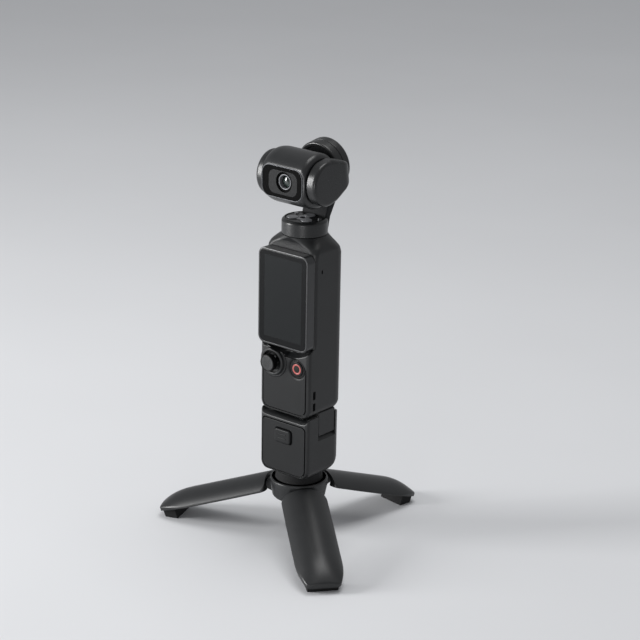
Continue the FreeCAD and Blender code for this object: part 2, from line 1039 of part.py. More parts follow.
def release_button():
    """The push button that opens the clasps, with two raised grip ridges."""
    body = new_body("release_button")
    face = d.grip_front - d.release_proud
    middle = (d.release_bottom + d.release_top) / 2
    pad(
        body,
        "XZ",
        face,
        d.grip_front + d.grip_plate_thick + 1.2,
        box(-d.release_half_width, d.release_half_width, d.release_bottom, d.release_top, 1.5),
    )
    finish_edges(body, "Fillet", 0.7, lies_at("Y", face))
    for side in (-1, 1):
        centre = middle + side * 1.1
        pad(body, "XZ", face - 0.3, face + 0.3, box(-2.6, 2.6, centre - 0.35, centre + 0.35, 0.3))
    place(body)


def clasp(side, sign):
    """A side clasp: a plate hinged at its foot whose top reaches into the camera's notch."""
    body = new_body(f"clasp_{side}")
    gap = d.moving_gap
    pin_x, pin_z = clasp_axis()
    outer = pin_x + d.clasp_thick / 2
    inner = pin_x - d.clasp_thick / 2
    left, right = (inner, outer) if sign > 0 else (-outer, -inner)
    pad(
        body,
        "XZ",
        d.clasp_front + gap,
        d.clasp_back - gap,
        box(left, right, pin_z - 1.2, d.clasp_top, 0.5),
    )
    pocket(
        body,
        "XZ",
        d.clasp_front,
        d.clasp_back,
        Circle(pin_x * sign, pin_z, d.clasp_pin_radius + d.running_gap),
    )
    place(body)


def clasp_pins():
    """The two pins that the clasps turn on."""
    pin_x, pin_z = clasp_axis()
    length = d.clasp_back - d.clasp_front + 4 - d.fit_gap * 2
    pins = []
    for side, sign in (("left", -1), ("right", 1)):
        base = (pin_x * sign, d.clasp_back + 2 - d.fit_gap, pin_z)
        pins.append(cylinder(f"clasp_pin_{side}", d.clasp_pin_radius, length, base, [TO_FRONT]))
    compound("clasp_pins", pins)


def thread_insert():
    """The brass insert with the quarter-inch thread's bore."""
    body = new_body("thread_insert")
    bore = d.screw_radius + d.running_gap
    low = d.grip_bottom
    high = d.grip_bottom + d.insert_length
    middle = (low + high) / 2
    turned(
        body,
        Outline([
            (bore, low),
            (d.insert_radius, low),
            (d.insert_radius, middle - 0.6),
            (d.insert_radius - 0.5, middle - 0.6),
            (d.insert_radius - 0.5, middle + 0.6),
            (d.insert_radius, middle + 0.6),
            (d.insert_radius, high),
            (bore, high),
        ]),
    )
    place(body, y=d.hub_y)


def plug_outline(gap, radius):
    """The flat plug's outline seen from above, grown by a gap."""
    across = d.plug_half_width + gap
    deep = d.plug_half_depth + gap
    return box(-across, across, d.plug_y - deep, d.plug_y + deep, radius)


def grip_inside():
    """The handle's cell and its board with the upward plug."""
    half = d.grip_cavity_half_width
    cell = new_body("grip_battery")
    back = d.grip_back - d.grip_back_wall - 0.3
    pad(
        cell,
        "XY",
        d.grip_cavity_bottom + 0.2,
        d.grip_cavity_top - 2.6,
        box(-half + 0.6, half - 0.6, back - 14.5, back, 3.0),
    )
    place(cell)
    board = new_body("grip_board")
    pad(
        board,
        "XY",
        d.grip_cavity_top - 1.7,
        d.grip_cavity_top - 0.7,
        box(-half + 0.3, half - 0.3, -9.5, 7.5, 2.0),
    )
    pad(
        board,
        "XY",
        d.grip_cavity_top - 2.5,
        d.grip_cavity_top - 1.7,
        box(-9, -3, -8.0, -4.0),
    )
    place(board)
    plug = new_body("usb_plug")
    low = d.grip_cavity_top - 0.7
    high = d.body_bottom + 3.6
    pad(plug, "XY", low, high, plug_outline(0.0, 1.15))
    pocket(plug, "XY", high - 3.5, high, plug_outline(-0.4, 0.7))
    place(plug)


# Camera body


def sweep_cone(body):
    """Cuts the body's front clear of the turning screen: a cone about the screen's axis."""
    pivot = d.screen_centre
    beyond = 1.0
    slope = (d.sweep_flare - d.sweep_radius) / (d.cover_face - d.block_face)
    outline = Outline([
        (d.cover_face, pivot),
        (d.cover_face, pivot - d.sweep_radius),
        (d.block_face - beyond, pivot - d.sweep_flare - slope * beyond),
        (d.block_face - beyond, pivot),
    ])
    groove(body, "YZ", 0, outline, (-30, pivot), (0, pivot))


def control_outline(gap):
    """The control plate's outline, with a wide corner round the record button."""
    half = d.control_half_width - gap
    return box(
        -half,
        half,
        d.control_bottom + gap,
        d.control_top - gap,
        [d.control_round, d.control_round, d.control_button_round, 2.0],
    )


def body_shell():
    """The camera's casing: one wrap-round shell with a lofted shoulder up to the neck."""
    body = new_body("body_shell")
    wide = d.body_half_width
    beyond = 3.0
    corners = body_corners()
    pad(body, "XY", d.body_bottom, d.shoulder_low, box(-wide, wide, d.cover_face, d.body_back, corners))
    pad(
        body,
        "XY",
        d.body_bottom,
        d.screen_centre - d.sweep_radius + 6,
        box(-wide, wide, d.block_face, d.cover_face + 5, [d.front_round, d.front_round, None, None]),
    )
    sweep_cone(body)
    # A round bump carries the joystick's boss over the ledge, cut back where the screen turns
    plate_back = d.block_face + d.control_plate_thick
    boss = Circle(d.stick_x, d.stick_z, d.stick_boss_radius)
    pad(body, "XZ", plate_back, d.cover_face + 1, boss)
    pocket(body, "XZ", d.block_face - 1, d.cover_face, Circle(0, d.screen_centre, d.sweep_radius))
    trim(
        body,
        "XZ",
        d.block_face - beyond,
        d.body_back + beyond,
        box(-wide, wide, d.body_bottom, d.neck_seam + beyond, [d.base_round, d.base_round, None, None]),
    )
    trim(
        body,
        "YZ",
        -wide - beyond,
        wide + beyond,
        box(
            d.block_face,
            d.body_back,
            d.body_bottom,
            d.neck_seam + beyond,
            [1.4, d.base_rear_round, None, None],
        ),
    )
    # Shoulder
    neck = d.neck_radius
    almost = neck - 0.1
    sections = [
        sketch_in(body, "XY", d.shoulder_low, box(-wide, wide, d.cover_face, d.body_back, corners)),
        sketch_in(
            body,
            "XY",
            d.shoulder_knee,
            box(
                -(wide - 0.45),
                wide - 0.45,
                d.cover_face,
                d.body_back - 0.7,
                [d.front_round + 2.0, d.front_round + 2.0, d.rear_round + 0.8, d.rear_round + 0.8],
            ),
        ),
        sketch_in(
            body,
            "XY",
            d.shoulder_high,
            box(
                -(neck + 2.6),
                neck + 2.6,
                d.cover_face,
                neck + 0.7,
                [neck - 4.5, neck - 4.5, neck - 2.0, neck - 2.0],
            ),
        ),
        sketch_in(body, "XY", d.neck_seam, box(-neck, neck, -neck, neck, almost)),
    ]
    loft = body.newObject("PartDesign::AdditiveLoft", "body_shell_shoulder")
    loft.Profile = sections[0]
    loft.Sections = sections[1:]
    doc.recompute()
    # Cavities from the shoulder down to the floor, and the neck's bore
    inner = wide - d.body_wall
    front = d.cover_face + d.body_wall
    pocket(
        body,
        "XY",
        d.cavity_floor,
        d.shoulder_low,
        box(
            -inner,
            inner,
            front,
            d.body_back - d.body_wall,
            [1.0, 1.0, d.rear_round - d.body_wall, d.rear_round - d.body_wall],
        ),
    )
    pocket(body, "XY", d.base_floor, d.cavity_floor + 1, box(-11, 11, front, 7.0, 2.0))
    block_inner = d.control_half_width - 0.4
    pocket(
        body,
        "XY",
        d.body_bottom + 3.6,
        d.block_cavity_top,
        box(-block_inner, block_inner, d.block_face + d.control_plate_thick + 0.85, front + 1, 1.2),
    )
    pocket(body, "XY", d.shoulder_low - 1, d.neck_seam + 0.5, Circle(0, 0, d.neck_bore))
    # Window behind the screen and the recess for its cover
    cover_half = d.screen_half_width - 2.0
    centre = d.screen_centre
    cover_high = d.screen_half_height - 3.6
    pocket(
        body,
        "XZ",
        d.cover_face - 0.5,
        d.cover_face + 0.9,
        box(-cover_half, cover_half, centre - cover_high, centre + cover_high, 2.5),
    )
    pocket(
        body,
        "XZ",
        d.cover_face,
        front + 0.5,
        box(
            -cover_half + 1.5,
            cover_half - 1.5,
            centre - cover_high + 1.5,
            centre + cover_high - 1.5,
            3.6,
        ),
    )
    for x, z in cover_screw_spots():
        hole = Circle(x, z, d.cover_screw_radius + d.fit_gap / 4)
        pocket(body, "XZ", d.cover_face, front + 0.5, hole)
    # Control plate recess and the openings under it
    pocket(body, "XZ", d.block_face - 1, plate_back, control_outline(as_size(0)))
    flange = Circle(d.stick_x, d.stick_z, d.stick_flange_radius + d.fit_gap)
    pocket(body, "XZ", d.block_face - 1, plate_back, flange)
    pocket(
        body,
        "XZ",
        d.block_face,
        d.block_face + d.stick_holder_depth + d.moving_gap,
        Circle(d.stick_x, d.stick_z, d.stick_holder_radius + d.fit_gap),
    )
    pocket(body, "XZ", d.block_face, plate_back + 1.5, Circle(d.record_x, d.record_z, d.record_well_radius))
    # Function key, lamp and the microphone's opening
    key_w = d.key_half_width + d.moving_gap / 2
    key_h = d.key_half_height + d.moving_gap / 2
    pocket(
        body,
        "XZ",
        d.cover_face - 0.5,
        front + 0.5,
        box(-key_w, key_w, d.key_z - key_h, d.key_z + key_h, key_h - 0.02),
    )
    pocket(body, "XZ", d.cover_face - 0.5, front + 0.5, Circle(d.lamp_x, d.lamp_z, 0.55))
    pocket(body, "YZ", wide - d.body_wall - 0.5, wide + 0.5, box(-5.9, -4.9, 151.0, 153.0, 0.45))
    for low, high in ((76.7, 81.0), (83.0, 87.6)):
        pocket(body, "YZ", wide - 3.0, wide + 0.5, box(-11.2, -9.2, low, high, 0.4))
    # Port below, and the notches for the clasps
    pocket(body, "XY", d.body_bottom - 0.5, d.base_floor + 0.5, plug_outline(0.8, 1.8))
    notch = pocket(
        body,
        "XZ",
        d.clasp_front,
        d.clasp_back,
        box(
            d.grip_half_width - d.clasp_depth,
            wide + 1,
            d.body_bottom - 1,
            d.notch_top,
        ),
    )
    mirrored(body, [notch])
    place(body)


def front_frame():
    """The cover behind the screen, with the boss that the screen turns in."""
    body = new_body("front_frame")
    gap = d.fit_gap / 2
    half = d.screen_half_width - 2.0 - gap
    high = d.screen_half_height - 3.6 - gap
    centre = d.screen_centre
    pad(body, "XZ", d.cover_face, d.cover_face + 0.9, box(-half, half, centre - high, centre + high, 2.5))
    boss_end = d.screen_hub_end - 1.2
    pad(body, "XZ", d.cover_face + 0.5, boss_end, Circle(0, centre, d.screen_hub_radius + 2.6))
    pocket(
        body,
        "XZ",
        d.cover_face - 1,
        boss_end + 1,
        Circle(0, centre, d.screen_hub_radius + d.running_gap),
    )
    for x, z in cover_screw_spots():
        hole = Circle(x, z, d.cover_screw_radius + d.fit_gap)
        pocket(body, "XZ", d.cover_face - 1, d.cover_face + 0.5, Circle(x, z, 1.4))
        pocket(body, "XZ", d.cover_face - 1, d.cover_face + 1.5, hole)
    place(body)


def cover_screw_spots():
    """The four corners of the cover where its screws sit, over the shell's ledge."""
    across = d.screen_half_width - 3.85
    up = d.screen_half_height - 5.45
    return [(sx * across, d.screen_centre + sz * up) for sx in (-1, 1) for sz in (-1, 1)]


def body_screws():
    """Four small screws that hold the cover behind the screen."""
    screws = []
    level = d.cover_face + 0.45
    for number, (x, z) in enumerate(cover_screw_spots()):
        screws.append(
            screw(f"body_screw_{number}", 1.3, 0.35, d.cover_screw_radius, 0.9, (x, level, z), [TO_FRONT])
        )
    compound("body_screws", screws)


def control_plate():
    """The inlaid plate round the joystick and the record button, with the button's dish."""
    body = new_body("control_plate")
    pad(body, "XZ", d.block_face, d.block_face + d.control_plate_thick, control_outline(d.fit_gap / 2))
    pocket(
        body,
        "XZ",
        d.block_face - 1,
        d.block_face + d.control_plate_thick + 1,
        Circle(d.stick_x, d.stick_z, d.stick_flange_radius + d.fit_gap),
    )
    pocket(
        body,
        "XZ",
        d.block_face - 1,
        d.block_face + d.control_plate_thick + 1,
        Circle(d.record_x, d.record_z, d.record_well_radius),
    )
    dish_deep = d.block_face + d.control_plate_thick - 0.2
    near = d.record_x + d.record_well_radius - 0.1
    far = d.record_x + d.record_dish_radius
    dish = Outline([
        (near, dish_deep),
        (near + 0.1, dish_deep),
        (far, d.block_face),
        (far, d.block_face - 0.5),
        (near, d.block_face - 0.5),
    ])
    groove(body, "XY", d.record_z, dish, (d.record_x, d.block_face - 3), (d.record_x, d.block_face + 3))
    place(body)


def place_front(body, x, z, level):
    """Places a part that was turned about its own Z axis so that it looks out of the front."""
    place(body, x=x, y=level, z=z, turns=[TO_FRONT])


def joystick_base():
    """The stepped boss round the joystick, with the holder for the gimbal ring inside."""
    body = new_body("joystick_base")
    low = -d.control_plate_thick
    holder_low = -d.stick_holder_depth
    turned(
        body,
        Outline([
            (d.stick_ring_radius + d.moving_gap, holder_low),
            (d.stick_holder_radius, holder_low),
            (d.stick_holder_radius, low),
            (d.stick_flange_radius, low),
            (d.stick_flange_radius, 0.15),
            (d.stick_flange_radius - 0.25, 0.4),
            (d.stick_boss_radius + 0.15, 0.4),
            (d.stick_boss_radius, 1.5),
            (d.stick_boss_radius - 0.5, 2.0),
            (d.stick_well_radius + 0.3, 2.0),
            (d.stick_well_radius, 1.7),
            (d.stick_well_radius, -0.3),
            (d.stick_ring_radius + d.moving_gap, -0.3),
        ]),
    )
    pocket(
        body,
        "YZ",
        -d.stick_holder_radius - 1,
        d.stick_holder_radius + 1,
        Circle(0, d.stick_pivot, d.stick_pin_radius + d.running_gap),
    )
    # The turning screen passes close above the boss
    sweep = Circle(-d.stick_x, d.screen_centre - d.stick_z, d.sweep_radius)
    pocket(body, "XY", holder_low - 1, 3.0, sweep)
    place_front(body, d.stick_x, d.stick_z, d.block_face)


def joystick_ring():
    """The gimbal ring that lets the joystick tip up and down, with its two pins."""
    body = new_body("joystick_ring")
    inner = d.stem_radius + 1.6
    turned(
        body,
        Outline([
            (inner, d.stick_pivot - 0.8),
            (d.stick_ring_radius, d.stick_pivot - 0.8),
            (d.stick_ring_radius, d.stick_pivot + 0.8),
            (inner, d.stick_pivot + 0.8),
        ]),
    )
    reach = d.stick_holder_radius - 0.3
    pocket(
        body,
        "XZ",
        -d.stick_ring_radius - 1,
        d.stick_ring_radius + 1,
        Circle(0, d.stick_pivot, d.stick_pin_radius + d.running_gap),
    )
    start = inner + 0.4
    pad(body, "YZ", start, reach, Circle(0, d.stick_pivot, d.stick_pin_radius))
    pad(body, "YZ", -reach, -start, Circle(0, d.stick_pivot, d.stick_pin_radius))
    place_front(body, d.stick_x, d.stick_z, d.block_face)


def joystick_stem():
    """The stem that tips sideways in the ring, on its own cross pin."""
    body = new_body("joystick_stem")
    top = d.stick_cap_face - 1.5
    turned(
        body,
        Outline([
            (0, d.stick_pivot - 1.5),
            (d.stem_radius, d.stick_pivot - 1.5),
            (d.stem_radius, top),
            (0, top),
        ]),
    )
    reach = d.stick_ring_radius - 0.25
    pad(body, "XZ", -reach, reach, Circle(0, d.stick_pivot, d.stick_pin_radius))
    place_front(body, d.stick_x, d.stick_z, d.block_face)


def joystick_cap():
    """The joystick's round cap, which can be pressed along its stem."""
    body = new_body("joystick_cap")
    bore = d.stem_radius + d.running_gap
    turned(
        body,
        Outline([
            (bore, d.stick_cap_low),
            (d.stick_cap_radius, d.stick_cap_low),
            (d.stick_cap_radius, d.stick_cap_face - 0.45),
            (d.stick_cap_radius - 0.45, d.stick_cap_face),
            (0, d.stick_cap_face),
            (0, d.stick_cap_face - 0.8),
            (bore, d.stick_cap_face - 0.8),
        ]),
    )
    place_front(body, d.stick_x, d.stick_z, d.block_face)


def record_button():
    """The record button: a dark flange, a raised cap with a groove for the red ring, and a stem."""
    body = new_body("record_button")
    flange_top = -0.6
    flange_low = -1.5
    turned(
        body,
        Outline([
            (0, -2.0),
            (1.6, -2.0),
            (1.6, flange_low),
            (d.record_well_radius - d.moving_gap, flange_low),
            (d.record_well_radius - d.moving_gap, flange_top),
            (d.record_cap_radius, flange_top),
            (d.record_cap_radius, -0.35),
            (d.record_cap_radius - 0.3, -0.05),
            (d.record_ring_outer, -0.05),
            (d.record_ring_outer, -0.4),
            (d.record_ring_inner, -0.4),
            (d.record_ring_inner, -0.1),
            (0, -0.2),
        ]),
    )
    place_front(body, d.record_x, d.record_z, d.block_face)


def record_ring():
    """The red ring let into the record button."""
    body = new_body("record_ring")
    gap = d.fit_gap / 2
    turned(
        body,
        Outline([
            (d.record_ring_inner + gap, -0.4),
            (d.record_ring_outer - gap, -0.4),
            (d.record_ring_outer - gap, 0.02),
            (d.record_ring_inner + gap, 0.02),
        ]),
    )
    place_front(body, d.record_x, d.record_z, d.block_face)


def function_key():
    """The small bar-shaped key under the screen."""
    body = new_body("function_key")
    high = d.key_half_height
    pad(
        body,
        "XZ",
        d.cover_face + 0.05,
        d.cover_face + d.body_wall + 0.4,
        box(-d.key_half_width, d.key_half_width, d.key_z - high, d.key_z + high, high - 0.02),
    )
    pad(
        body,
        "XZ",
        d.cover_face + d.body_wall + 0.4,
        d.cover_face + d.body_wall + 1.0,
        box(-d.key_half_width - 0.8, d.key_half_width + 0.8, d.key_z - high - 0.6, d.key_z + high + 0.6),
    )
    place(body)


def camera_inside():
    """The camera's boards, cell, socket, speaker, lamp and pan motor."""
    inner = d.body_half_width - d.body_wall - 0.25
    board_face = d.screen_hub_end + 1.0
    board = new_body("main_board")
    pad(board, "XZ", board_face, board_face + 0.9, box(-inner, inner, 80, d.shoulder_low - 9.5, 1.5))
    pad(board, "XZ", board_face - 0.6, board_face, box(-9, 7, 86, 100))
    pad(board, "XZ", board_face - 2.0, board_face, box(-1.6, 1.6, d.key_z - 1.2, d.key_z + 1.2))
    place(board)
    cell = new_body("camera_battery")
    cell_front = board_face + 0.9 + 0.2
    pad(cell, "XZ", cell_front, cell_front + 9.0, box(-12.2, 12.2, 84, 148, 2.0))
    place(cell)
    switches = new_body("switch_board")
    face = d.block_face + 2.45
    pad(switches, "XZ", face, face + 0.8, box(-13.2, 13.2, 88.5, 102.2, 1.0))
    opening = Circle(d.stick_x, d.stick_z, d.stick_holder_radius + d.fit_gap)
    pocket(switches, "XZ", face - 1, face + 2, opening)
    pad(switches, "XZ", face - 0.1, face, Circle(d.record_x, d.record_z, 1.5))
    place(switches)
    socket = new_body("usb_socket")
    low = d.base_floor + 0.1
    pad(socket, "XY", low, d.body_bottom + 8, plug_outline(0.6, 1.6))
    pocket(socket, "XY", low - 1, d.body_bottom + 4.2, plug_outline(0.2, 1.2))
    place(socket)
    speaker = new_body("speaker")
    outer = d.control_half_width - 0.6
    pad(speaker, "XY", 76.2, 87.9, box(outer - 3.2, outer, d.block_face + 2.2, d.cover_face + 1.6, 0.5))
    place(speaker)
    lamp = new_body("status_lamp")
    turned(lamp, Outline([(0, -1.4), (0.45, -1.4), (0.45, -0.05), (0, -0.05)]))
    place_front(lamp, d.lamp_x, d.lamp_z, d.cover_face)
    motor = new_body("pan_motor")
    stator = d.neck_bore - d.fit_gap
    turned(
        motor,
        Outline([
            (0, d.shoulder_low - 8),
            (stator - 1, d.shoulder_low - 8),
            (stator, d.shoulder_low - 7),
            (stator, d.neck_seam - 0.3),
            (d.shaft_radius, d.neck_seam - 0.3),
            (d.shaft_radius, d.ring_well_floor - 1.0),
            (0, d.ring_well_floor - 1.0),
        ]),
    )
    place(motor)


# Screen


def screen_parts():
    """The screen's frame with its hub, the glass, the panel and the ring that holds the hub."""
    half = d.screen_half_width
    high = d.screen_half_height
    centre = d.screen_centre
    frame = new_body("screen_frame")
    outer = box(-half, half, centre - high, centre + high, d.screen_round)
    pad(frame, "XZ", d.screen_front, d.screen_back, outer)
    finish_edges(frame, "Chamfer", 0.45, lies_at("Y", d.screen_front))
    finish_edges(frame, "Chamfer", 0.35, lies_at("Y", d.screen_back))
    glass_w = d.glass_half_width
    glass_h = d.glass_half_height
    seat = d.screen_front + d.glass_thick + 0.05
    glass_seat = box(-glass_w, glass_w, centre - glass_h, centre + glass_h, d.glass_round)
    pocket(frame, "XZ", d.screen_front - 1, seat, glass_seat)
    panel_w = d.panel_half_width + 0.3
    panel_h = d.panel_half_height + 0.3
    pocket(
        frame,
        "XZ",
        d.screen_front,
        seat + d.panel_thick + 0.5,
        box(-panel_w, panel_w, centre - panel_h, centre + panel_h, 1.0),
    )
    pad(frame, "XZ", d.screen_back - 0.5, d.screen_hub_end, Circle(0, centre, d.screen_hub_radius))
    pocket(frame, "XZ", seat, d.screen_hub_end + 1, Circle(0, centre, d.screen_hub_radius - 2.4))
    place(frame)
    gap = d.fit_gap / 2
    glass = new_body("screen_glass")
    pad(
        glass,
        "XZ",
        d.screen_front + 0.05,
        seat,
        box(
            -glass_w + gap,
            glass_w - gap,
            centre - glass_h + gap,
            centre + glass_h - gap,
            d.glass_round - gap,
        ),
    )
    place(glass)
    panel = new_body("display_panel")
    pad(
        panel,
        "XZ",
        seat + 0.02,
        seat + d.panel_thick,
        box(
            -d.panel_half_width,
            d.panel_half_width,
            centre - d.panel_half_height,
            centre + d.panel_half_height,
            0.8,
        ),
    )
    place(panel)
    ring = new_body("screen_retainer")
    pad(
        ring,
        "XZ",
        d.screen_hub_end - 1.0,
        d.screen_hub_end,
        Circle(0, centre, d.screen_hub_radius + 1.8),
        Circle(0, centre, d.screen_hub_radius + 0.02),
    )
    place(ring)


# Gimbal


def tilted(back, up):
    """A point of the leaning roll frame, as Y and Z of the standing object."""
    back = as_size(back)
    up = as_size(up)
    return (
        d.tilt_y + back * cosine(d.roll_lean) - up * sine(d.roll_lean),
        d.tilt_z + back * sine(d.roll_lean) + up * cosine(d.roll_lean),
    )


def roll_cylinder(name, radius, front, back):
    """A cylinder about the roll axis between two distances behind the gimbal centre."""
    y, z = tilted(back, 0)
    turns = [TO_FRONT, (X_AXIS, d.roll_lean)]
    return cylinder(name, radius, as_size(back) - front, (0, y, z), turns)


def place_roll(body):
    place(body, y=d.tilt_y, z=d.tilt_z, turns=[(X_AXIS, d.roll_lean)])


def pan_arm():
    """The turning neck ring, its rising column and the roll motor's round housing."""
    ring = doc.addObject("PartDesign::Body", "pan_ring")
    low = d.neck_seam + d.ring_gap
    turned(
        ring,
        Outline([
            (0, low),
            (d.neck_radius, low),
            (d.neck_radius, d.ring_edge),
            (d.ring_well_radius + 0.6, d.ring_top),
            (d.ring_well_radius, d.ring_top),
            (d.ring_well_radius, d.ring_well_floor),
            (0, d.ring_well_floor),
        ]),
    )
    back_low_y, back_low_z = tilted(d.stator_back - 1.5, -d.roll_radius + 1.0)
    front_low_y, front_low_z = tilted(d.stator_front + 0.2, -d.roll_radius - 0.6)
    under_y, under_z = tilted(d.rotor_front, -d.roll_radius - 0.6)
    column = doc.addObject("PartDesign::Body", "pan_column")
    half = d.column_half_width
    foot = d.neck_radius - 1.6
    pad(
        column,
        "YZ",
        -half,
        half,
        Outline([
            (foot - 3.2, low + 1.2),
            (foot - 0.4, low + 1.2),
            (foot + 1.8, d.ring_edge - 0.5),
            (back_low_y, back_low_z),
            (back_low_y, back_low_z + 6.0),
            (front_low_y, back_low_z + 6.0),
            (front_low_y, front_low_z),
            (under_y, under_z - 0.6),
            (foot - 1.2, d.ring_edge + 6.0),
            (foot - 3.2, d.ring_edge + 1.2),
        ]),
    )
    rear_foot = foot + 1.8

    def rear_side(edge):
        bounds = edge.BoundBox
        side = abs(abs(bounds.XMin) - half.value) < 0.01 and bounds.XLength < 0.01
        low = abs(bounds.YMin - rear_foot.value) < 0.05
        return side and low and abs(bounds.YMax - back_low_y.value) < 0.05

    finish_edges(column, "Fillet", 2.0, rear_side)
    stator = doc.addObject("PartDesign::Body", "pan_stator")
    turned(
        stator,
        Outline([
            (0, -d.stator_back),
            (d.roll_radius, -d.stator_back, d.roll_rear_round),
            (d.roll_radius, -d.stator_front),
            (0, -d.stator_front),
        ]),
    )
    stand_at(stator, (0, d.tilt_y, d.tilt_z), [TO_FRONT, (X_AXIS, d.roll_lean)])
    joined = doc.addObject("Part::MultiFuse", "pan_joined")
    joined.Shapes = [ring, column, stator]
    well_radius = d.roll_radius - d.roll_wall
    well = roll_cylinder("pan_stator_well", well_radius, d.stator_front + 1.4, d.stator_back + 1)
    shaft_well = roll_cylinder("pan_roll_shaft_hole", 2.2, d.stator_front - 1, d.stator_front + 2)
    shaft = cylinder("pan_shaft_hole", d.shaft_radius + d.running_gap, 12, (0, 0, low - 1))
    ring_well = cylinder(
        "pan_ring_well", d.ring_well_radius, d.ring_top + 20 - d.ring_well_floor, (0, 0, d.ring_well_floor)
    )
    clear = doc.addObject("Part::Box", "pan_well_front")
    for path, size in (
        ("Length", as_size(40)),
        ("Width", as_size(27)),
        ("Height", as_size(40)),
        ("Placement.Base.x", as_size(-20)),
        ("Placement.Base.y", as_size(-20)),
        ("Placement.Base.z", d.ring_well_floor - 1),
    ):
        bind(clear, path, size)
    well_part = doc.addObject("Part::Common", "pan_well_part")
    well_part.Base = ring_well
    well_part.Tool = clear
    holes = doc.addObject("Part::MultiFuse", "pan_holes")
    holes.Shapes = [well, shaft_well, shaft, well_part]
    arm = doc.addObject("Part::Cut", "pan_arm")
    arm.Base = joined
    arm.Tool = holes
    arm.Label = "pan_arm"
    doc.recompute()
    place(arm)
    SUBPARTS.append(arm)


def neck_top():
    """The dark disc in the neck ring, the three-lobed metal clip on it and its two screws."""
    cap = new_body("neck_cap")
    radius = d.ring_well_radius - d.moving_gap
    edge_y = 6.3
    pad(cap, "XY", d.ring_well_floor, d.neck_cap_top, Circle(0, 0, radius))
    behind = box(-radius - 1, radius + 1, edge_y, radius + 1)
    pocket(cap, "XY", d.ring_well_floor - 1, d.neck_cap_top + 1, behind)
    pocket(cap, "XY", d.neck_cap_top - 0.35, d.neck_cap_top + 1, Circle(0, 0, 2.0))
    place(cap)
    clip = new_body("neck_clip")
    pad(clip, "XY", d.neck_cap_top, d.clip_top - 0.1, Circle(0, 0, 3.6))
    lobe = pad(clip, "XY", d.neck_cap_top, d.clip_top, Circle(5.4, 0, 3.0))
    pattern = clip.newObject("PartDesign::PolarPattern", "neck_clip_pattern")
    pattern.Originals = [lobe]
    pattern.Axis = ([f for f in clip.Origin.OriginFeatures if f.Role == "Z_Axis"][0], [""])
    pattern.Angle = 360
    pattern.Occurrences = 3
    clip.Tip = pattern
    doc.recompute()
    pocket(clip, "XY", d.neck_cap_top - 0.5, d.clip_top + 0.5, Circle(0, 0, 1.5))
    place(clip, y=-1.6, turns=[(Z_AXIS, 90)])
    spots = [(-7.9, 2.6), (7.9, 2.6)]
    screws = [
        screw(f"neck_screw_{n}", 1.1, 0.5, 0.6, 1.0, (x, y, d.neck_cap_top))
        for n, (x, y) in enumerate(spots)
    ]
    for n, (x, y) in enumerate(spots):
        pocket(cap, "XY", d.neck_cap_top - 1.2, d.neck_cap_top + 1, Circle(x, y, 0.65))
    compound("neck_screws", screws)


def roll_motor_parts():
    """The roll motor with its shaft, and the cover that closes its housing behind."""
    inner = d.roll_radius - d.roll_wall
    front = d.stator_front + 1.5
    motor = new_body("roll_motor")
    turned(
        motor,
        Outline([
            (0, -d.stator_back + 1.4),
            (inner - d.fit_gap, -d.stator_back + 1.4),
            (inner - d.fit_gap, -front),
            (d.shaft_radius, -front),
            (d.shaft_radius, -d.rotor_front - 2.0),
            (0, -d.rotor_front - 2.0),
        ]),
    )
    place(motor, y=d.tilt_y, z=d.tilt_z, turns=[TO_FRONT, (X_AXIS, d.roll_lean)])
    cover = new_body("roll_cover")
    turned(
        cover,
        Outline([
            (0, -d.stator_back - d.roll_cover_proud),
            (inner - 1.6, -d.stator_back - d.roll_cover_proud),
            (inner - d.fit_gap, -d.stator_back),
            (inner - d.fit_gap, -d.stator_back + 1.2),
            (0, -d.stator_back + 1.2),
        ]),
    )
    place(cover, y=d.tilt_y, z=d.tilt_z, turns=[TO_FRONT, (X_AXIS, d.roll_lean)])


def roll_arm():
    """The L-shaped arm from the roll motor's rotor round to the tilt motor, in the roll frame."""
    body = new_body("roll_arm")
    disc = d.arm_disc_radius
    tail = d.arm_tail
    pad(body, "YZ", d.arm_inner, d.arm_outer, Circle(0, 0, disc))
    finish_edges(body, "Chamfer", d.arm_chamfer, lies_at("X", d.arm_outer))
    pad(
        body,
        "XY",
        -disc,
        disc,
        Outline([
            (d.arm_inner, 0),
            (d.arm_outer, 0),
            (d.arm_outer, d.rotor_back, d.arm_elbow),
            (0, d.rotor_back),
            (0, d.rotor_front),
            (d.arm_inner, d.rotor_front, 2.5),
        ]),
    )
    # In side view the arm tapers towards the elbow
    beyond = 2.0
    end = d.rotor_back + beyond
    run = d.rotor_back - d.arm_taper_start
    last = tail - (disc - tail) * (beyond / run.value)
    for side in (1, -1):
        taper = Outline([
            (d.arm_taper_start, disc * side),
            (end, last * side),
            (end, (disc + beyond) * side),
            (d.arm_taper_start, (disc + beyond) * side),
        ])
        pocket(body, "YZ", -beyond, d.arm_outer + beyond, taper)
    pad(body, "XZ", d.rotor_front, d.rotor_back, Circle(0, 0, d.roll_radius))
    motor_well = d.arm_disc_radius - d.tilt_motor_wall
    pocket(body, "YZ", d.arm_inner - 1, d.arm_outer - 1.6, Circle(0, 0, motor_well))
    shaft = d.shaft_radius + d.running_gap
    pocket(body, "XZ", d.rotor_front + 1.5, d.rotor_back + 1, Circle(0, 0, shaft))
    place_roll(body)


def tilt_motor():
    """The tilt motor in the arm's disc, with the shaft that carries the head."""
    body = new_body("tilt_motor")
    radius = d.arm_disc_radius - d.tilt_motor_wall - d.fit_gap
    outer = d.arm_outer - 1.7
    pad(body, "YZ", d.arm_inner + 0.1, outer, Circle(0, 0, radius))
    pad(body, "YZ", d.head_right - 3.0, d.arm_inner + 0.1, Circle(0, 0, d.shaft_radius))
    place_roll(body)


def place_head(body):
    place(body, y=d.tilt_y, z=d.tilt_z)


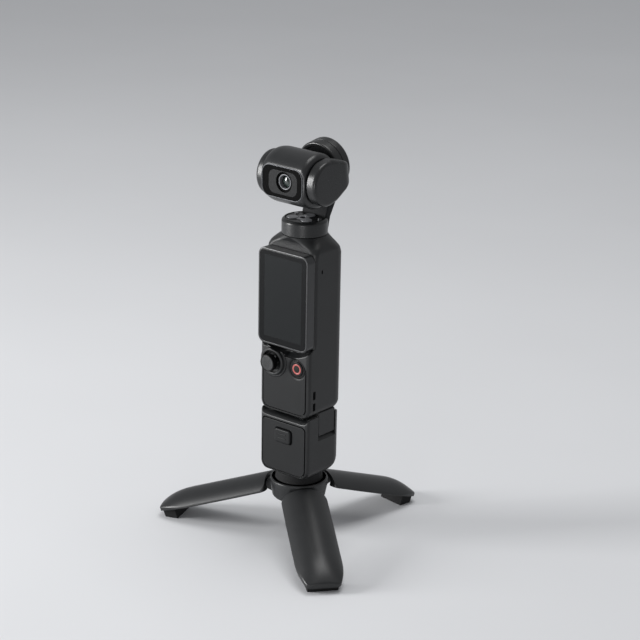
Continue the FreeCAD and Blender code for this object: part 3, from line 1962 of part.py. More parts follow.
def head_shell():
    """The camera head: a barrel along the tilt axis, cut flat in front and hollow for the lens."""
    body = new_body("head_shell")
    radius = d.head_radius
    pad(body, "YZ", d.head_left, d.head_right, Circle(0, 0, radius))
    finish_edges(body, "Fillet", d.head_right_round, lies_at("X", d.head_right))
    beyond = 2.0
    # The barrel narrows in a soft curve towards the cap
    narrow = radius - d.head_left_radius
    taper = d.head_taper_start - d.head_left
    curve = Outline([
        (d.head_left - beyond, d.head_left_radius),
        (d.head_left, d.head_left_radius),
        (d.head_left + taper * 0.25, radius - narrow * 0.56),
        (d.head_left + taper * 0.5, radius - narrow * 0.25),
        (d.head_left + taper * 0.75, radius - narrow * 0.06),
        (d.head_taper_start, radius),
        (d.head_taper_start, radius + beyond),
        (d.head_left - beyond, radius + beyond),
    ])
    groove(body, "XY", 0, curve, (d.head_left - beyond, 0), (0, 0))
    pocket(
        body,
        "YZ",
        d.head_left - beyond,
        d.head_right + beyond,
        box(-radius - beyond, d.head_flat, -radius - beyond, radius + beyond),
    )
    gap = d.fit_gap
    pocket(
        body,
        "XZ",
        d.head_flat - 1,
        d.bezel_back + gap,
        box(
            -d.bezel_half_width - gap + 0.6,
            d.bezel_half_width + gap - 0.6,
            -d.bezel_half_height - gap + 0.6,
            d.bezel_half_height + gap - 0.6,
            d.bezel_round - 0.5,
        ),
    )
    pocket(body, "XZ", d.bezel_back, 8.0, box(-10.4, 10.4, -7.2, 7.2, 3.0))
    pocket(body, "YZ", d.head_right - 3.4, d.head_right + 1, Circle(0, 0, d.shaft_radius + d.running_gap))
    place_head(body)


def head_left_cap():
    """The round cap on the head's free side."""
    body = new_body("head_left_cap")
    pad(body, "YZ", d.head_cap_left, d.head_left, Circle(0, 0, d.head_cap_radius))
    finish_edges(body, "Fillet", d.head_cap_round, lies_at("X", d.head_cap_left))
    place_head(body)


def lens_parts():
    """The bezel, its dark window, the lens barrel with its rings and glass, and the sensor."""
    wide = d.bezel_half_width
    high = d.bezel_half_height
    win_w = d.window_half_width
    win_h = d.window_half_height
    bezel = new_body("lens_bezel")
    lip = 0.6
    pad(bezel, "XZ", d.bezel_front, d.head_flat, box(-wide, wide, -high, high, d.bezel_round))
    pad(
        bezel,
        "XZ",
        d.head_flat,
        d.bezel_back,
        box(-wide + lip, wide - lip, -high + lip, high - lip, d.bezel_round - 0.55),
    )
    pocket(
        bezel,
        "XZ",
        d.bezel_front - 1,
        d.bezel_back + 1,
        box(-win_w - 0.1, win_w + 0.1, -win_h - 0.1, win_h + 0.1, d.window_round),
    )
    pocket(
        bezel,
        "XZ",
        d.bezel_front - 1,
        d.bezel_front + 0.35,
        box(-wide + lip, wide - lip, -high + lip, high - lip, d.bezel_round - 0.55),
    )
    place_head(bezel)
    window = new_body("lens_window")
    face = d.bezel_front + 1.2
    pad(window, "XZ", face, d.bezel_back, box(-win_w, win_w, -win_h, win_h, d.window_round - 0.1))
    pocket(window, "XZ", face - 1, d.bezel_back + 1, Circle(0, 0, d.lens_radius + 0.05))
    place_head(window)
    depth = -d.bezel_back
    barrel = new_body("lens_barrel")
    front = -face + 0.25
    turned(
        barrel,
        Outline([
            (d.lens_bore, -4.0),
            (d.lens_radius, -4.0),
            (d.lens_radius, front - 0.3),
            (d.lens_radius - 0.3, front),
            (d.lens_bore + 0.05, front),
            (d.lens_bore, front - 0.4),
        ]),
    )
    place(barrel, y=d.tilt_y, z=d.tilt_z, turns=[TO_FRONT])
    ring = new_body("lens_ring")
    turned(
        ring,
        Outline([
            (d.lens_ring_inner, depth - 1.2),
            (d.lens_bore - 0.02, depth - 1.2),
            (d.lens_bore - 0.02, depth + 0.4),
            (d.lens_bore - 0.2, depth + 0.6),
            (d.lens_ring_inner, depth - 0.2),
        ]),
    )
    place(ring, y=d.tilt_y, z=d.tilt_z, turns=[TO_FRONT])
    lenses = []
    for number, level in enumerate((-3.2, 0.6, 4.4, 7.6)):
        lens = cylinder(
            f"lens_element_{number}",
            d.lens_bore - 0.02,
            1.8,
            (0, d.tilt_y - level, d.tilt_z),
            [TO_FRONT],
        )
        lenses.append(lens)
    compound("lens_elements", lenses)
    sensor = new_body("image_sensor")
    pad(sensor, "XZ", 4.05, 5.2, box(-6.0, 6.0, -5.0, 5.0, 0.5))
    pad(sensor, "XZ", 5.2, 6.0, box(-9.8, 9.8, -6.6, 6.6, 1.0))
    place_head(sensor)


def move_to_footprint_middle():
    """Sets the stand cells so that the origin is the middle of the whole object's box."""
    bounds = FreeCAD.BoundBox()
    for part in SUBPARTS:
        bounds.add(part.Shape.optimalBoundingBox(False, False))
    rows = {alias: row for row, alias in enumerate(SIZES, start=1)}
    sheet.set(f"B{rows['stand_x']}", str(round(-bounds.Center.x, 3)))
    sheet.set(f"B{rows['stand_y']}", str(round(-bounds.Center.y, 3)))
    doc.recompute()


def check_and_write():
    """Stops on any failed object or bad shape, then writes one file for each sub-part."""
    for thing in doc.Objects:
        if "Invalid" in thing.State or "Error" in thing.State:
            raise RuntimeError(f"{thing.Label} failed: {thing.State}")
    names = [part.Label for part in SUBPARTS]
    if len(set(names)) != len(names):
        raise RuntimeError("two sub-parts share a name")
    for part in SUBPARTS:
        if part.Shape.isNull() or not part.Shape.isValid():
            raise RuntimeError(f"{part.Label} has no valid shape")
    os.makedirs("parts", exist_ok=True)
    for part in SUBPARTS:
        part.Shape.exportStep(f"parts/{part.Label}.step")
        solids = len(part.Shape.Solids)
        print(f"{part.Label}: {solids} solid(s), {part.Shape.Volume:.2f} mm3")


def main():
    """Builds every sub-part from the floor up, then checks and writes them."""
    tripod_hub()
    tripod_screw()
    hub_pad()
    hinge_pins()
    for name in LEG_TURNS:
        tripod_leg(name)
        leg_foot(name)
    grip_shell()
    grip_front_plate()
    release_button()
    clasp("left", -1)
    clasp("right", 1)
    clasp_pins()
    thread_insert()
    grip_inside()
    body_shell()
    front_frame()
    body_screws()
    control_plate()
    joystick_base()
    joystick_ring()
    joystick_stem()
    joystick_cap()
    record_button()
    record_ring()
    function_key()
    camera_inside()
    screen_parts()
    pan_arm()
    neck_top()
    roll_motor_parts()
    roll_arm()
    tilt_motor()
    head_shell()
    head_left_cap()
    lens_parts()
    move_to_footprint_middle()
    check_and_write()


main()
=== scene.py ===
"""A pocket gimbal camera on a battery handle and a three-legged mini tripod.

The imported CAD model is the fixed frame. Pieces whose softness the solids don't carry are surfaces
worked out here with numpy, and every visible piece gets a procedural finish. Sizes are millimetres
from the neck's axis on the floor, +Z up, the screen looking along -Y; they become metres when a
mesh is made.
"""

from __future__ import annotations

import json
import logging
import math
from dataclasses import dataclass, field, replace
from enum import Enum
from typing import Sequence

import bmesh
import bpy
import numpy as np
from mathutils import Matrix, Vector

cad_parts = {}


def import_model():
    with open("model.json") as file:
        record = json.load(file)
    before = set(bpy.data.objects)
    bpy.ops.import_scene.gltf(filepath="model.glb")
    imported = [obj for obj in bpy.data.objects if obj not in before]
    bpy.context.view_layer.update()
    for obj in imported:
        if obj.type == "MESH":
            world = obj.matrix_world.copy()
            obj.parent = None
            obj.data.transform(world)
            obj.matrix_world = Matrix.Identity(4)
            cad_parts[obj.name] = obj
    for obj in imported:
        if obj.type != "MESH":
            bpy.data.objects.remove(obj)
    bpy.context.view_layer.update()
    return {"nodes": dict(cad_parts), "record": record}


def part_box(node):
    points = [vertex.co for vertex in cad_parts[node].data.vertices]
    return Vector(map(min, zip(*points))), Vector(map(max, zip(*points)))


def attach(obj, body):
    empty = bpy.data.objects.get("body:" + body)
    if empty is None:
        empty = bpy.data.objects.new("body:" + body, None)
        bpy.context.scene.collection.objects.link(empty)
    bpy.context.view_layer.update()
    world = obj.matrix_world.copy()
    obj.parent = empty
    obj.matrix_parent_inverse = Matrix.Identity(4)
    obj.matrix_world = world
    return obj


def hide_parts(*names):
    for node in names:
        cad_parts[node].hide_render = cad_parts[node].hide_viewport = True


log = logging.getLogger("gimbal_camera")

MM = 0.001
SHARP_EDGE = math.radians(32.0)
MERGE_MM = 0.002

# The hub's Y, the camera's front face ahead of the neck's axis, the height of the screen's pivot,
# the X and Z of the joystick and the record button, the Y and Z of the tilt axis, and how far the
# display's middle lies above the pivot
HUB_Y = -1.7
FACE = 14.94
PIVOT_Z = 135.9
STICK = (-7.4, 100.3)
RECORD = (8.4, 99.3)
TILT_Y = -5.0
TILT_Z = 199.4
DISPLAY_RISE = 0.4

# The radius that stands for an axis in a turned profile, the least radius of a corner, and how far
# a recess's cutting form goes on in front of the face
AXIS = 0.02
LEAST_RADIUS = 0.05
OVERRUN = 6.0

# Points (radius, height) of a turned section, each with the length by which it is rounded
Profile = tuple[tuple[float, float, float], ...]


# Shapes on grids


class Way(Enum):
    """Which way a shape's own third axis points in the standing object."""

    UP = "up"
    FRONT = "front"
    RIGHT = "right"


AXES = {
    Way.UP: np.array([[1.0, 0.0, 0.0], [0.0, 1.0, 0.0], [0.0, 0.0, 1.0]]),
    Way.FRONT: np.array([[1.0, 0.0, 0.0], [0.0, 0.0, 1.0], [0.0, -1.0, 0.0]]),
    Way.RIGHT: np.array([[0.0, 1.0, 0.0], [0.0, 0.0, 1.0], [1.0, 0.0, 0.0]]),
}


@dataclass(frozen=True)
class Place:
    """Where a shape's own frame lies: its axes as rows and its origin in millimetres."""

    axes: np.ndarray
    origin: tuple[float, float, float] = (0.0, 0.0, 0.0)

    @staticmethod
    def of(way: Way, x: float = 0.0, y: float = 0.0, z: float = 0.0) -> Place:
        """A frame whose third axis points the given way."""
        return Place(AXES[way], (x, y, z))

    def leaning(self, degrees: float) -> Place:
        """The same frame turned about the object's X axis, as the roll axis leans."""
        turn = np.array(Matrix.Rotation(math.radians(degrees), 3, "X"))
        return Place(self.axes @ turn.T, self.origin)

    def put(self, points: np.ndarray) -> np.ndarray:
        """Own coordinates to the object's, both in millimetres."""
        return points @ self.axes + np.array(self.origin)


@dataclass
class Workshop:
    """Turns numpy surfaces into pieces that ride on the frame.

    It holds where the neck's axis meets the floor in millimetres, the CAD nodes, each node's
    body and material slot, and the finishes.
    """

    stand: np.ndarray
    nodes: dict[str, bpy.types.Object]
    body_of: dict[str, str]
    slot_of: dict[str, str]
    wardrobe: Wardrobe

    def skin(
        self, name: str, rows: np.ndarray, place: Place, looped: bool = False
    ) -> bpy.types.Object:
        """A closed surface over rows of closed rings, with its faces pointing outwards.

        Point (i, j) of the grid joins (i+1, j), (i+1, j+1) and (i, j+1); the ring direction
        always closes. The rows close on themselves when looped, and are capped otherwise.

        Args:
            name: The object's name.
            rows: Array (rings, points, 3) in the shape's own frame, millimetres.
            place: The shape's own frame.
            looped: Whether the last ring joins the first.

        Returns:
            The new object, at the origin.
        """
        count, ring = rows.shape[:2]
        i = np.arange(count if looped else count - 1)[:, None]
        j = np.arange(ring)[None, :]
        after = (i + 1) % count
        side = (j + 1) % ring
        quads = np.broadcast_arrays(i * ring + j, i * ring + side, after * ring + side, after * ring + j)
        faces = np.stack(quads, axis=-1).reshape(-1, 4).tolist()
        if not looped:
            faces += [list(range(ring)), list(range((count - 1) * ring, count * ring))]
        mesh = bpy.data.meshes.new(name)
        world = (place.put(rows.reshape(-1, 3)) + self.stand) * MM
        mesh.from_pydata(world.tolist(), [], faces)
        self.clean(mesh)
        return self.link(name, mesh)

    @staticmethod
    def clean(mesh: bpy.types.Mesh, flat: float = 0.0) -> None:
        """Merges doubled points and turns the faces outwards.

        Args:
            mesh: The mesh, changed in place.
            flat: Angle in degrees under which neighbouring faces become one; 0 leaves them.
        """
        work = bmesh.new()
        work.from_mesh(mesh)
        bmesh.ops.remove_doubles(work, verts=work.verts, dist=MERGE_MM * MM)
        if flat > 0.0:
            limit = math.radians(flat)
            bmesh.ops.dissolve_limit(work, angle_limit=limit, verts=work.verts, edges=work.edges)
        bmesh.ops.recalc_face_normals(work, faces=work.faces)
        work.to_mesh(mesh)
        work.free()

    @staticmethod
    def link(name: str, mesh: bpy.types.Mesh) -> bpy.types.Object:
        """A new object of a mesh, in the scene.

        Args:
            name: The object's name.
            mesh: Its mesh.

        Returns:
            The object.
        """
        thing = bpy.data.objects.new(name, mesh)
        bpy.context.scene.collection.objects.link(thing)
        return thing

    def finish(
        self,
        thing: bpy.types.Object,
        cutters: Sequence[bpy.types.Object] = (),
        bevel: float = 0.0,
    ) -> bpy.types.Object:
        """Cuts openings, rounds edges, and weights the normals towards the flat faces.

        Args:
            thing: The piece.
            cutters: Closed forms taken away from it, and then removed.
            bevel: Width in millimetres by which sharp edges are rounded.

        Returns:
            The piece.
        """
        for cutter in cutters:
            cut = thing.modifiers.new("opening", "BOOLEAN")
            cut.operation = "DIFFERENCE"
            cut.solver = "EXACT"
            cut.object = cutter
        if cutters:
            self.bake(thing)
            for cutter in cutters:
                bpy.data.objects.remove(cutter)
        if bevel > 0.0:
            soft = thing.modifiers.new("soft_edges", "BEVEL")
            soft.width = bevel * MM
            soft.segments = 3
            soft.limit_method = "ANGLE"
            soft.angle_limit = SHARP_EDGE
            soft.use_clamp_overlap = False
            self.bake(thing)
        thing.data.shade_smooth()
        thing.data.set_sharp_from_angle(angle=SHARP_EDGE)
        weight = thing.modifiers.new("flat_faces", "WEIGHTED_NORMAL")
        weight.keep_sharp = True
        return thing

    @staticmethod
    def bake(thing: bpy.types.Object) -> None:
        """Turns the piece's modifiers into its mesh.

        Args:
            thing: The piece.
        """
        graph = bpy.context.evaluated_depsgraph_get()
        mesh = bpy.data.meshes.new_from_object(thing.evaluated_get(graph))
        thing.modifiers.clear()
        thing.data = mesh

    def soft_copy(self, node: str, use: Use, edge: float) -> None:
        """Puts a merged copy of a CAD node's mesh, with its sharp edges rounded, in its place.

        Args:
            node: The CAD node.
            use: The finish.
            edge: Width in millimetres by which sharp edges are rounded.
        """
        source = self.nodes[node]
        mesh = source.data.copy()
        mesh.transform(source.matrix_world)
        mesh.materials.clear()
        self.clean(mesh, flat=0.5)
        self.keep(self.finish(self.link(f"{node}_soft", mesh), bevel=edge), use, node)

    def make(
        self,
        node: str,
        use: Use,
        name: str,
        rows: np.ndarray,
        place: Place,
        bevel: float = 0.0,
        looped: bool = False,
    ) -> None:
        """Makes a piece that needs no cuts and lets it stand for a CAD node.

        Args:
            node: The CAD node.
            use: The finish.
            name: The piece's name.
            rows: Array (rings, points, 3) in the piece's own frame, millimetres.
            place: The piece's own frame.
            bevel: Width in millimetres by which sharp edges are rounded.
            looped: Whether the last ring joins the first.
        """
        thing = self.skin(name, rows, place, looped)
        self.keep(self.finish(thing, bevel=bevel), use, node)

    def keep(self, thing: bpy.types.Object, use: Use, node: str) -> None:
        """Dresses a piece, lets it ride with a CAD node's body and stand for that node.

        Args:
            thing: The piece.
            use: The finish.
            node: The CAD node.
        """
        self.wardrobe.dress(thing, use)
        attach(thing, self.body_of[node])
        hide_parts(node)
        log.info("%s stands for %s, %d faces", thing.name, node, len(thing.data.polygons))


@dataclass(frozen=True)
class Panel:
    """A rounded rectangle: its sides, and one radius or four from low right anticlockwise."""

    left: float
    right: float
    low: float
    high: float
    radii: float | tuple[float, ...]

    def grown(self, by: float, rounder: float) -> Panel:
        """The panel with its sides moved out and its radii made larger by two lengths."""
        radii = tuple(float(r) + rounder for r in np.broadcast_to(self.radii, 4))
        return Panel(self.left - by, self.right + by, self.low - by, self.high + by, radii)

    def ring(self, corner: int = 10, side: int = 1) -> np.ndarray:
        """The panel as one closed ring.

        Corner k's arc is its centre + r (cos t, sin t) with t over a quarter turn from
        -90 + 90 k degrees; straight runs are divided evenly between the arcs.

        Args:
            corner: Steps in each corner's arc.
            side: Divisions of each straight run.

        Returns:
            Array (points, 2).
        """
        r = np.maximum(np.broadcast_to(np.asarray(self.radii, float), 4), LEAST_RADIUS)
        centre = np.array([
            (self.right - r[0], self.low + r[0]),
            (self.right - r[1], self.high - r[1]),
            (self.left + r[2], self.high - r[2]),
            (self.left + r[3], self.low + r[3]),
        ])
        start = np.radians([-90.0, 0.0, 90.0, 180.0])
        turn = start[:, None] + np.linspace(0.0, math.pi / 2, corner + 1)[None, :]
        arcs = centre[:, None, :] + r[:, None, None] * np.stack([np.cos(turn), np.sin(turn)], -1)
        ends = arcs[:, -1:, :]
        starts = np.roll(arcs[:, :1, :], -1, axis=0)
        steps = (np.arange(1, side) / side)[None, :, None]
        runs = ends + (starts - ends) * steps
        return np.concatenate([arcs, runs], axis=1).reshape(-1, 2)


UPRIGHT = Place.of(Way.UP)
FORWARD = Place.of(Way.FRONT)
TO_RIGHT = Place.of(Way.RIGHT)


def forward_at(spot: tuple[float, float], y: float = 0.0) -> Place:
    """A frame that looks forward from a spot (x, z) of the front."""
    return Place.of(Way.FRONT, spot[0], y, spot[1])


def lifted(ring: np.ndarray, level: float) -> np.ndarray:
    """A flat ring at one level of the third axis."""
    return np.column_stack([ring, np.full(len(ring), level)])


def turned_rows(profile: Sequence[tuple[float, float]], steps: int) -> np.ndarray:
    """A profile of (radius, height) carried round the third axis: r cos t, r sin t, h.

    Args:
        profile: The points, from one end of the surface to the other.
        steps: Points round the axis.

    Returns:
        Array (profile points, steps, 3).
    """
    radius, height = np.array(profile, float).T
    t = np.linspace(0.0, 2.0 * math.pi, steps, endpoint=False)
    x = radius[:, None] * np.cos(t)
    y = radius[:, None] * np.sin(t)
    z = np.broadcast_to(height[:, None], x.shape)
    return np.stack([x, y, z], axis=-1)


def turned(profile: Profile, roundness: int, steps: int) -> np.ndarray:
    """A turned surface whose section is rounded in so many steps at each corner."""
    return turned_rows(rounded_profile(profile, roundness), steps)


def round_bar(radius: float, low: float, high: float, steps: int) -> np.ndarray:
    """A plain cylinder between two heights."""
    return turned_rows([(radius, low), (radius, high)], steps)


def prism(ring: np.ndarray, low: float, high: float) -> np.ndarray:
    """A flat ring at two levels."""
    return np.stack([lifted(ring, low), lifted(ring, high)])


def recess(panel: Panel, floor: float, face: float, chamfer: float) -> np.ndarray:
    """A recess's cutting form: straight walls from the floor, widening at 45 degrees to the face.

    Args:
        panel: The recess's outline.
        floor: Level of its floor.
        face: Level of the face that it is cut into.
        chamfer: Width of the widening; the form goes on in front of the face.

    Returns:
        Array (4, points, 3).
    """
    straight = panel.ring()
    wide = panel.grown(chamfer, chamfer).ring()
    inside = prism(straight, floor, face - chamfer)
    return np.concatenate([inside, prism(wide, face, face + OVERRUN)])


def soft_slab(panel: Panel, back: float, face: float, edge: float, steps: int = 5) -> np.ndarray:
    """A rounded rectangle from back to face whose rim turns over in a quarter round.

    At turn t the ring is drawn in by edge (1 - cos t) and lies at face - edge (1 - sin t).

    Args:
        panel: The slab's outline.
        back: Level of its back.
        face: Level of its face.
        edge: Radius of the quarter round.
        steps: Steps in the quarter round.

    Returns:
        Array (steps + 2, points, 3).
    """
    rows = [lifted(panel.ring(), back)]
    for t in np.linspace(0.0, math.pi / 2, steps + 1):
        pull = edge * (1.0 - math.cos(t))
        rows.append(lifted(panel.grown(-pull, -pull).ring(), face - edge * (1.0 - math.sin(t))))
    return np.stack(rows)


@dataclass(frozen=True)
class Cut:
    """A straight opening between two levels of a frame: a rounded rectangle or a round hole.

    The steps are those of each corner's arc, or the points round the hole.
    """

    name: str
    form: Panel | float
    place: Place
    floor: float
    mouth: float
    steps: int = 10

    def cutter(self, shop: Workshop) -> bpy.types.Object:
        """The closed form that is cut away.

        Args:
            shop: The workshop that makes it.

        Returns:
            The form.
        """
        if isinstance(self.form, Panel):
            rows = prism(self.form.ring(self.steps), self.floor, self.mouth)
        else:
            rows = round_bar(self.form, self.floor, self.mouth, self.steps)
        return shop.skin(self.name, rows, self.place)


def quarter(depth: float, reach: float) -> float:
    """How far a quarter-round edge stands back, at a depth in from its end: 0 beyond the reach."""
    t = min(max(depth / reach, 0.0), 1.0)
    return 1.0 - math.sqrt(max(1.0 - (1.0 - t) ** 2, 0.0))


def rounded_profile(corners: Profile, steps: int) -> list[tuple[float, float]]:
    """An open profile whose inner corners are rounded.

    Each corner (x, y, r) with r > 0 becomes a quadratic curve between the points that lie r
    before and after it; r is shortened where a run is short.

    Args:
        corners: Points with a rounding length each.
        steps: Steps in each rounding.

    Returns:
        The profile's points.
    """
    out: list[tuple[float, float]] = []
    spots = [np.array(corner[:2], float) for corner in corners]
    for index, (spot, corner) in enumerate(zip(spots, corners)):
        reach = corner[2]
        if reach <= 0 or index in (0, len(corners) - 1):
            out.append((float(spot[0]), float(spot[1])))
            continue
        before = spots[index - 1] - spot
        after = spots[index + 1] - spot
        r = min(reach, 0.5 * np.linalg.norm(before), 0.5 * np.linalg.norm(after))
        start = spot + before / np.linalg.norm(before) * r
        stop = spot + after / np.linalg.norm(after) * r
        t = np.linspace(0.0, 1.0, steps + 1)[:, None]
        curve = (1 - t) ** 2 * start + 2 * t * (1 - t) * spot + t**2 * stop
        out.extend((float(a), float(b)) for a, b in curve)
    return out


def smooth_step(value: np.ndarray) -> np.ndarray:
    """0 below 0, 1 above 1, and 3 v^2 - 2 v^3 between."""
    v = np.clip(value, 0.0, 1.0)
    return v * v * (3.0 - 2.0 * v)


def through(knots: Sequence[float], values: Sequence[Sequence[float]], at: np.ndarray) -> np.ndarray:
    """Smooth curves through a table: a cubic between knots whose slopes never overshoot.

    Args:
        knots: Rising positions.
        values: One row of values for each knot.
        at: Positions wanted.

    Returns:
        Array (positions, columns).
    """
    x = np.asarray(knots, float)
    y = np.asarray(values, float)
    step = np.diff(x)[:, None]
    rise = np.diff(y, axis=0) / step
    slope = np.zeros_like(y)
    product = rise[:-1] * rise[1:]
    mean = 2.0 * product / np.where(product > 0, rise[:-1] + rise[1:], 1.0)
    slope[1:-1] = np.where(product > 0, mean, 0.0)
    slope[0] = rise[0]
    slope[-1] = rise[-1]
    k = np.clip(np.searchsorted(x, at, side="right") - 1, 0, len(x) - 2)
    t = ((at - x[k]) / (x[k + 1] - x[k]))[:, None]
    h = step[k]
    return (
        (2 * t**3 - 3 * t**2 + 1) * y[k]
        + (t**3 - 2 * t**2 + t) * h * slope[k]
        + (-2 * t**3 + 3 * t**2) * y[k + 1]
        + (t**3 - t**2) * h * slope[k + 1]
    )


# Finishes


def linear(hex_colour: str) -> tuple[float, float, float, float]:
    """An sRGB hex colour as linear RGBA: c / 12.92 when dark, else ((c + 0.055) / 1.055)^2.4.

    Args:
        hex_colour: The colour, such as #102030.

    Returns:
        Red, green, blue and an alpha of 1.
    """
    parts = [int(hex_colour[i : i + 2], 16) / 255.0 for i in (1, 3, 5)]
    rgb = [c / 12.92 if c <= 0.04045 else ((c + 0.055) / 1.055) ** 2.4 for c in parts]
    return (rgb[0], rgb[1], rgb[2], 1.0)


def add(
    tree: bpy.types.NodeTree,
    kind: str,
    settings: dict[str, object] | None = None,
    links: dict[str | int, bpy.types.NodeSocket] | None = None,
) -> bpy.types.Node:
    """Adds a node, sets its properties or input values, and links its inputs.

    Args:
        tree: The node tree.
        kind: The node's type name.
        settings: Property names, or input names or numbers, with their values.
        links: Input names or numbers, with the sockets that feed them.

    Returns:
        The new node.
    """
    node = tree.nodes.new(kind)
    for key, value in (settings or {}).items():
        if isinstance(key, str) and hasattr(node, key):
            setattr(node, key, value)
        else:
            node.inputs[key].default_value = value
    for key, socket in (links or {}).items():
        tree.links.new(socket, node.inputs[key])
    return node


@dataclass(frozen=True)
class Finish:
    """A surface finish: base values, a fine grain and a slow drift of colour and gloss."""

    name: str
    colour: str
    colour_b: str
    roughness: float
    metallic: float = 0.0
    ior: float = 1.5
    grain_mm: float = 0.6
    grain_deep_mm: float = 0.01
    drift_mm: float = 14.0
    roughness_drift: float = 0.06
    coat: float = 0.0
    stretch: tuple[float, float, float] = (1.0, 1.0, 1.0)
    specular: float = 0.5

    def build(self) -> bpy.types.Material:
        """The finish as a node material.

        A slow noise mixes the two colours; a fine one varies the roughness and the surface.

        Returns:
            The material.
        """
        material = bpy.data.materials.new(self.name)
        material.use_nodes = True
        tree = material.node_tree
        tree.nodes.clear()
        where = add(tree, "ShaderNodeTexCoord")
        scaled = add(
            tree,
            "ShaderNodeMapping",
            {"Scale": self.stretch},
            {"Vector": where.outputs["Object"]},
        )
        drift = add(
            tree,
            "ShaderNodeTexNoise",
            {"Scale": 1.0 / (self.drift_mm * MM), "Detail": 3.0},
            {"Vector": where.outputs["Object"]},
        )
        grain = add(
            tree,
            "ShaderNodeTexNoise",
            {"Scale": 1.0 / (self.grain_mm * MM), "Detail": 2.0, "Roughness": 0.6},
            {"Vector": scaled.outputs["Vector"]},
        )
        tone = add(
            tree,
            "ShaderNodeMapRange",
            {"From Min": 0.3, "From Max": 0.7, "To Min": 0.0, "To Max": 1.0},
            {"Value": drift.outputs[0]},
        )
        colour = add(
            tree,
            "ShaderNodeMix",
            {"data_type": "RGBA", 6: linear(self.colour), 7: linear(self.colour_b)},
            {0: tone.outputs["Result"]},
        )
        rough = add(
            tree,
            "ShaderNodeMapRange",
            {
                "From Min": 0.3,
                "From Max": 0.7,
                "To Min": max(self.roughness - self.roughness_drift, 0.02),
                "To Max": self.roughness + self.roughness_drift,
            },
            {"Value": grain.outputs[0]},
        )
        bump = add(
            tree,
            "ShaderNodeBump",
            {"Strength": 0.8, "Distance": self.grain_deep_mm * MM},
            {"Height": grain.outputs[0]},
        )
        shader = add(
            tree,
            "ShaderNodeBsdfPrincipled",
            {
                "Metallic": self.metallic,
                "IOR": self.ior,
                "Coat Weight": self.coat,
                "Coat Roughness": 0.08,
                "Specular IOR Level": self.specular,
            },
            {
                "Base Color": self.final_colour(tree, where, colour),
                "Roughness": rough.outputs["Result"],
                "Normal": bump.outputs["Normal"],
            },
        )
        add(tree, "ShaderNodeOutputMaterial", {}, {"Surface": shader.outputs["BSDF"]})
        return material

    def final_colour(
        self, tree: bpy.types.NodeTree, where: bpy.types.Node, colour: bpy.types.Node
    ) -> bpy.types.NodeSocket:
        """The colour that reaches the shader: here the mixed one.

        Args:
            tree: The material's node tree.
            where: The node of the object's coordinates.
            colour: The node that mixes the finish's two colours.

        Returns:
            The socket that holds the colour.
        """
        return colour.outputs[2]


@dataclass(frozen=True)
class ScreenGlass(Finish):
    """Cover glass over a dark display: black round the edge, a little lighter where it shows.

    The display is a rectangle of the object's X and Z, in millimetres, with a soft edge.
    """

    lit: str = "#191b1c"
    centre: tuple[float, float] = (0.0, 0.0)
    half: tuple[float, float] = (12.5, 22.1)
    blur_mm: float = 0.25

    def final_colour(
        self, tree: bpy.types.NodeTree, where: bpy.types.Node, colour: bpy.types.Node
    ) -> bpy.types.NodeSocket:
        """Mixes in the display's tone inside a rectangle of the object's X and Z.

        Args:
            tree: The material's node tree.
            where: The node of the object's coordinates.
            colour: The node that mixes the finish's two colours.

        Returns:
            The socket that holds the colour.
        """
        apart = add(tree, "ShaderNodeSeparateXYZ", {}, {0: where.outputs["Object"]})
        inside = []
        for axis, middle, reach in zip("XZ", self.centre, self.half):
            moved = add(
                tree,
                "ShaderNodeMath",
                {"operation": "SUBTRACT", 1: middle * MM},
                {0: apart.outputs[axis]},
            )
            size = add(tree, "ShaderNodeMath", {"operation": "ABSOLUTE"}, {0: moved.outputs[0]})
            edge = add(
                tree,
                "ShaderNodeMapRange",
                {
                    "From Min": (reach + self.blur_mm) * MM,
                    "From Max": (reach - self.blur_mm) * MM,
                },
                {"Value": size.outputs[0]},
            )
            inside.append(edge.outputs["Result"])
        both = add(tree, "ShaderNodeMath", {"operation": "MULTIPLY"}, {0: inside[0], 1: inside[1]})
        mixed = add(
            tree,
            "ShaderNodeMix",
            {"data_type": "RGBA", 7: linear(self.lit)},
            {0: both.outputs[0], 6: colour.outputs[2]},
        )
        return mixed.outputs[2]


@dataclass(frozen=True)
class ClearGlass(Finish):
    """Coated optical glass: it lets light through and shows a faint tint."""

    def build(self) -> bpy.types.Material:
        """A transmitting shader with a thin coating.

        Returns:
            The material.
        """
        material = bpy.data.materials.new(self.name)
        material.use_nodes = True
        tree = material.node_tree
        tree.nodes.clear()
        edge = add(tree, "ShaderNodeLayerWeight", {"Blend": 0.35})
        tint = add(
            tree,
            "ShaderNodeMix",
            {"data_type": "RGBA", 6: linear(self.colour), 7: linear(self.colour_b)},
            {0: edge.outputs["Facing"]},
        )
        shader = add(
            tree,
            "ShaderNodeBsdfPrincipled",
            {
                "Metallic": 0.0,
                "IOR": self.ior,
                "Roughness": self.roughness,
                "Transmission Weight": 0.6,
                "Coat Weight": self.coat,
                "Coat Roughness": 0.03,
            },
            {"Base Color": tint.outputs[2]},
        )
        add(tree, "ShaderNodeOutputMaterial", {}, {"Surface": shader.outputs["BSDF"]})
        return material


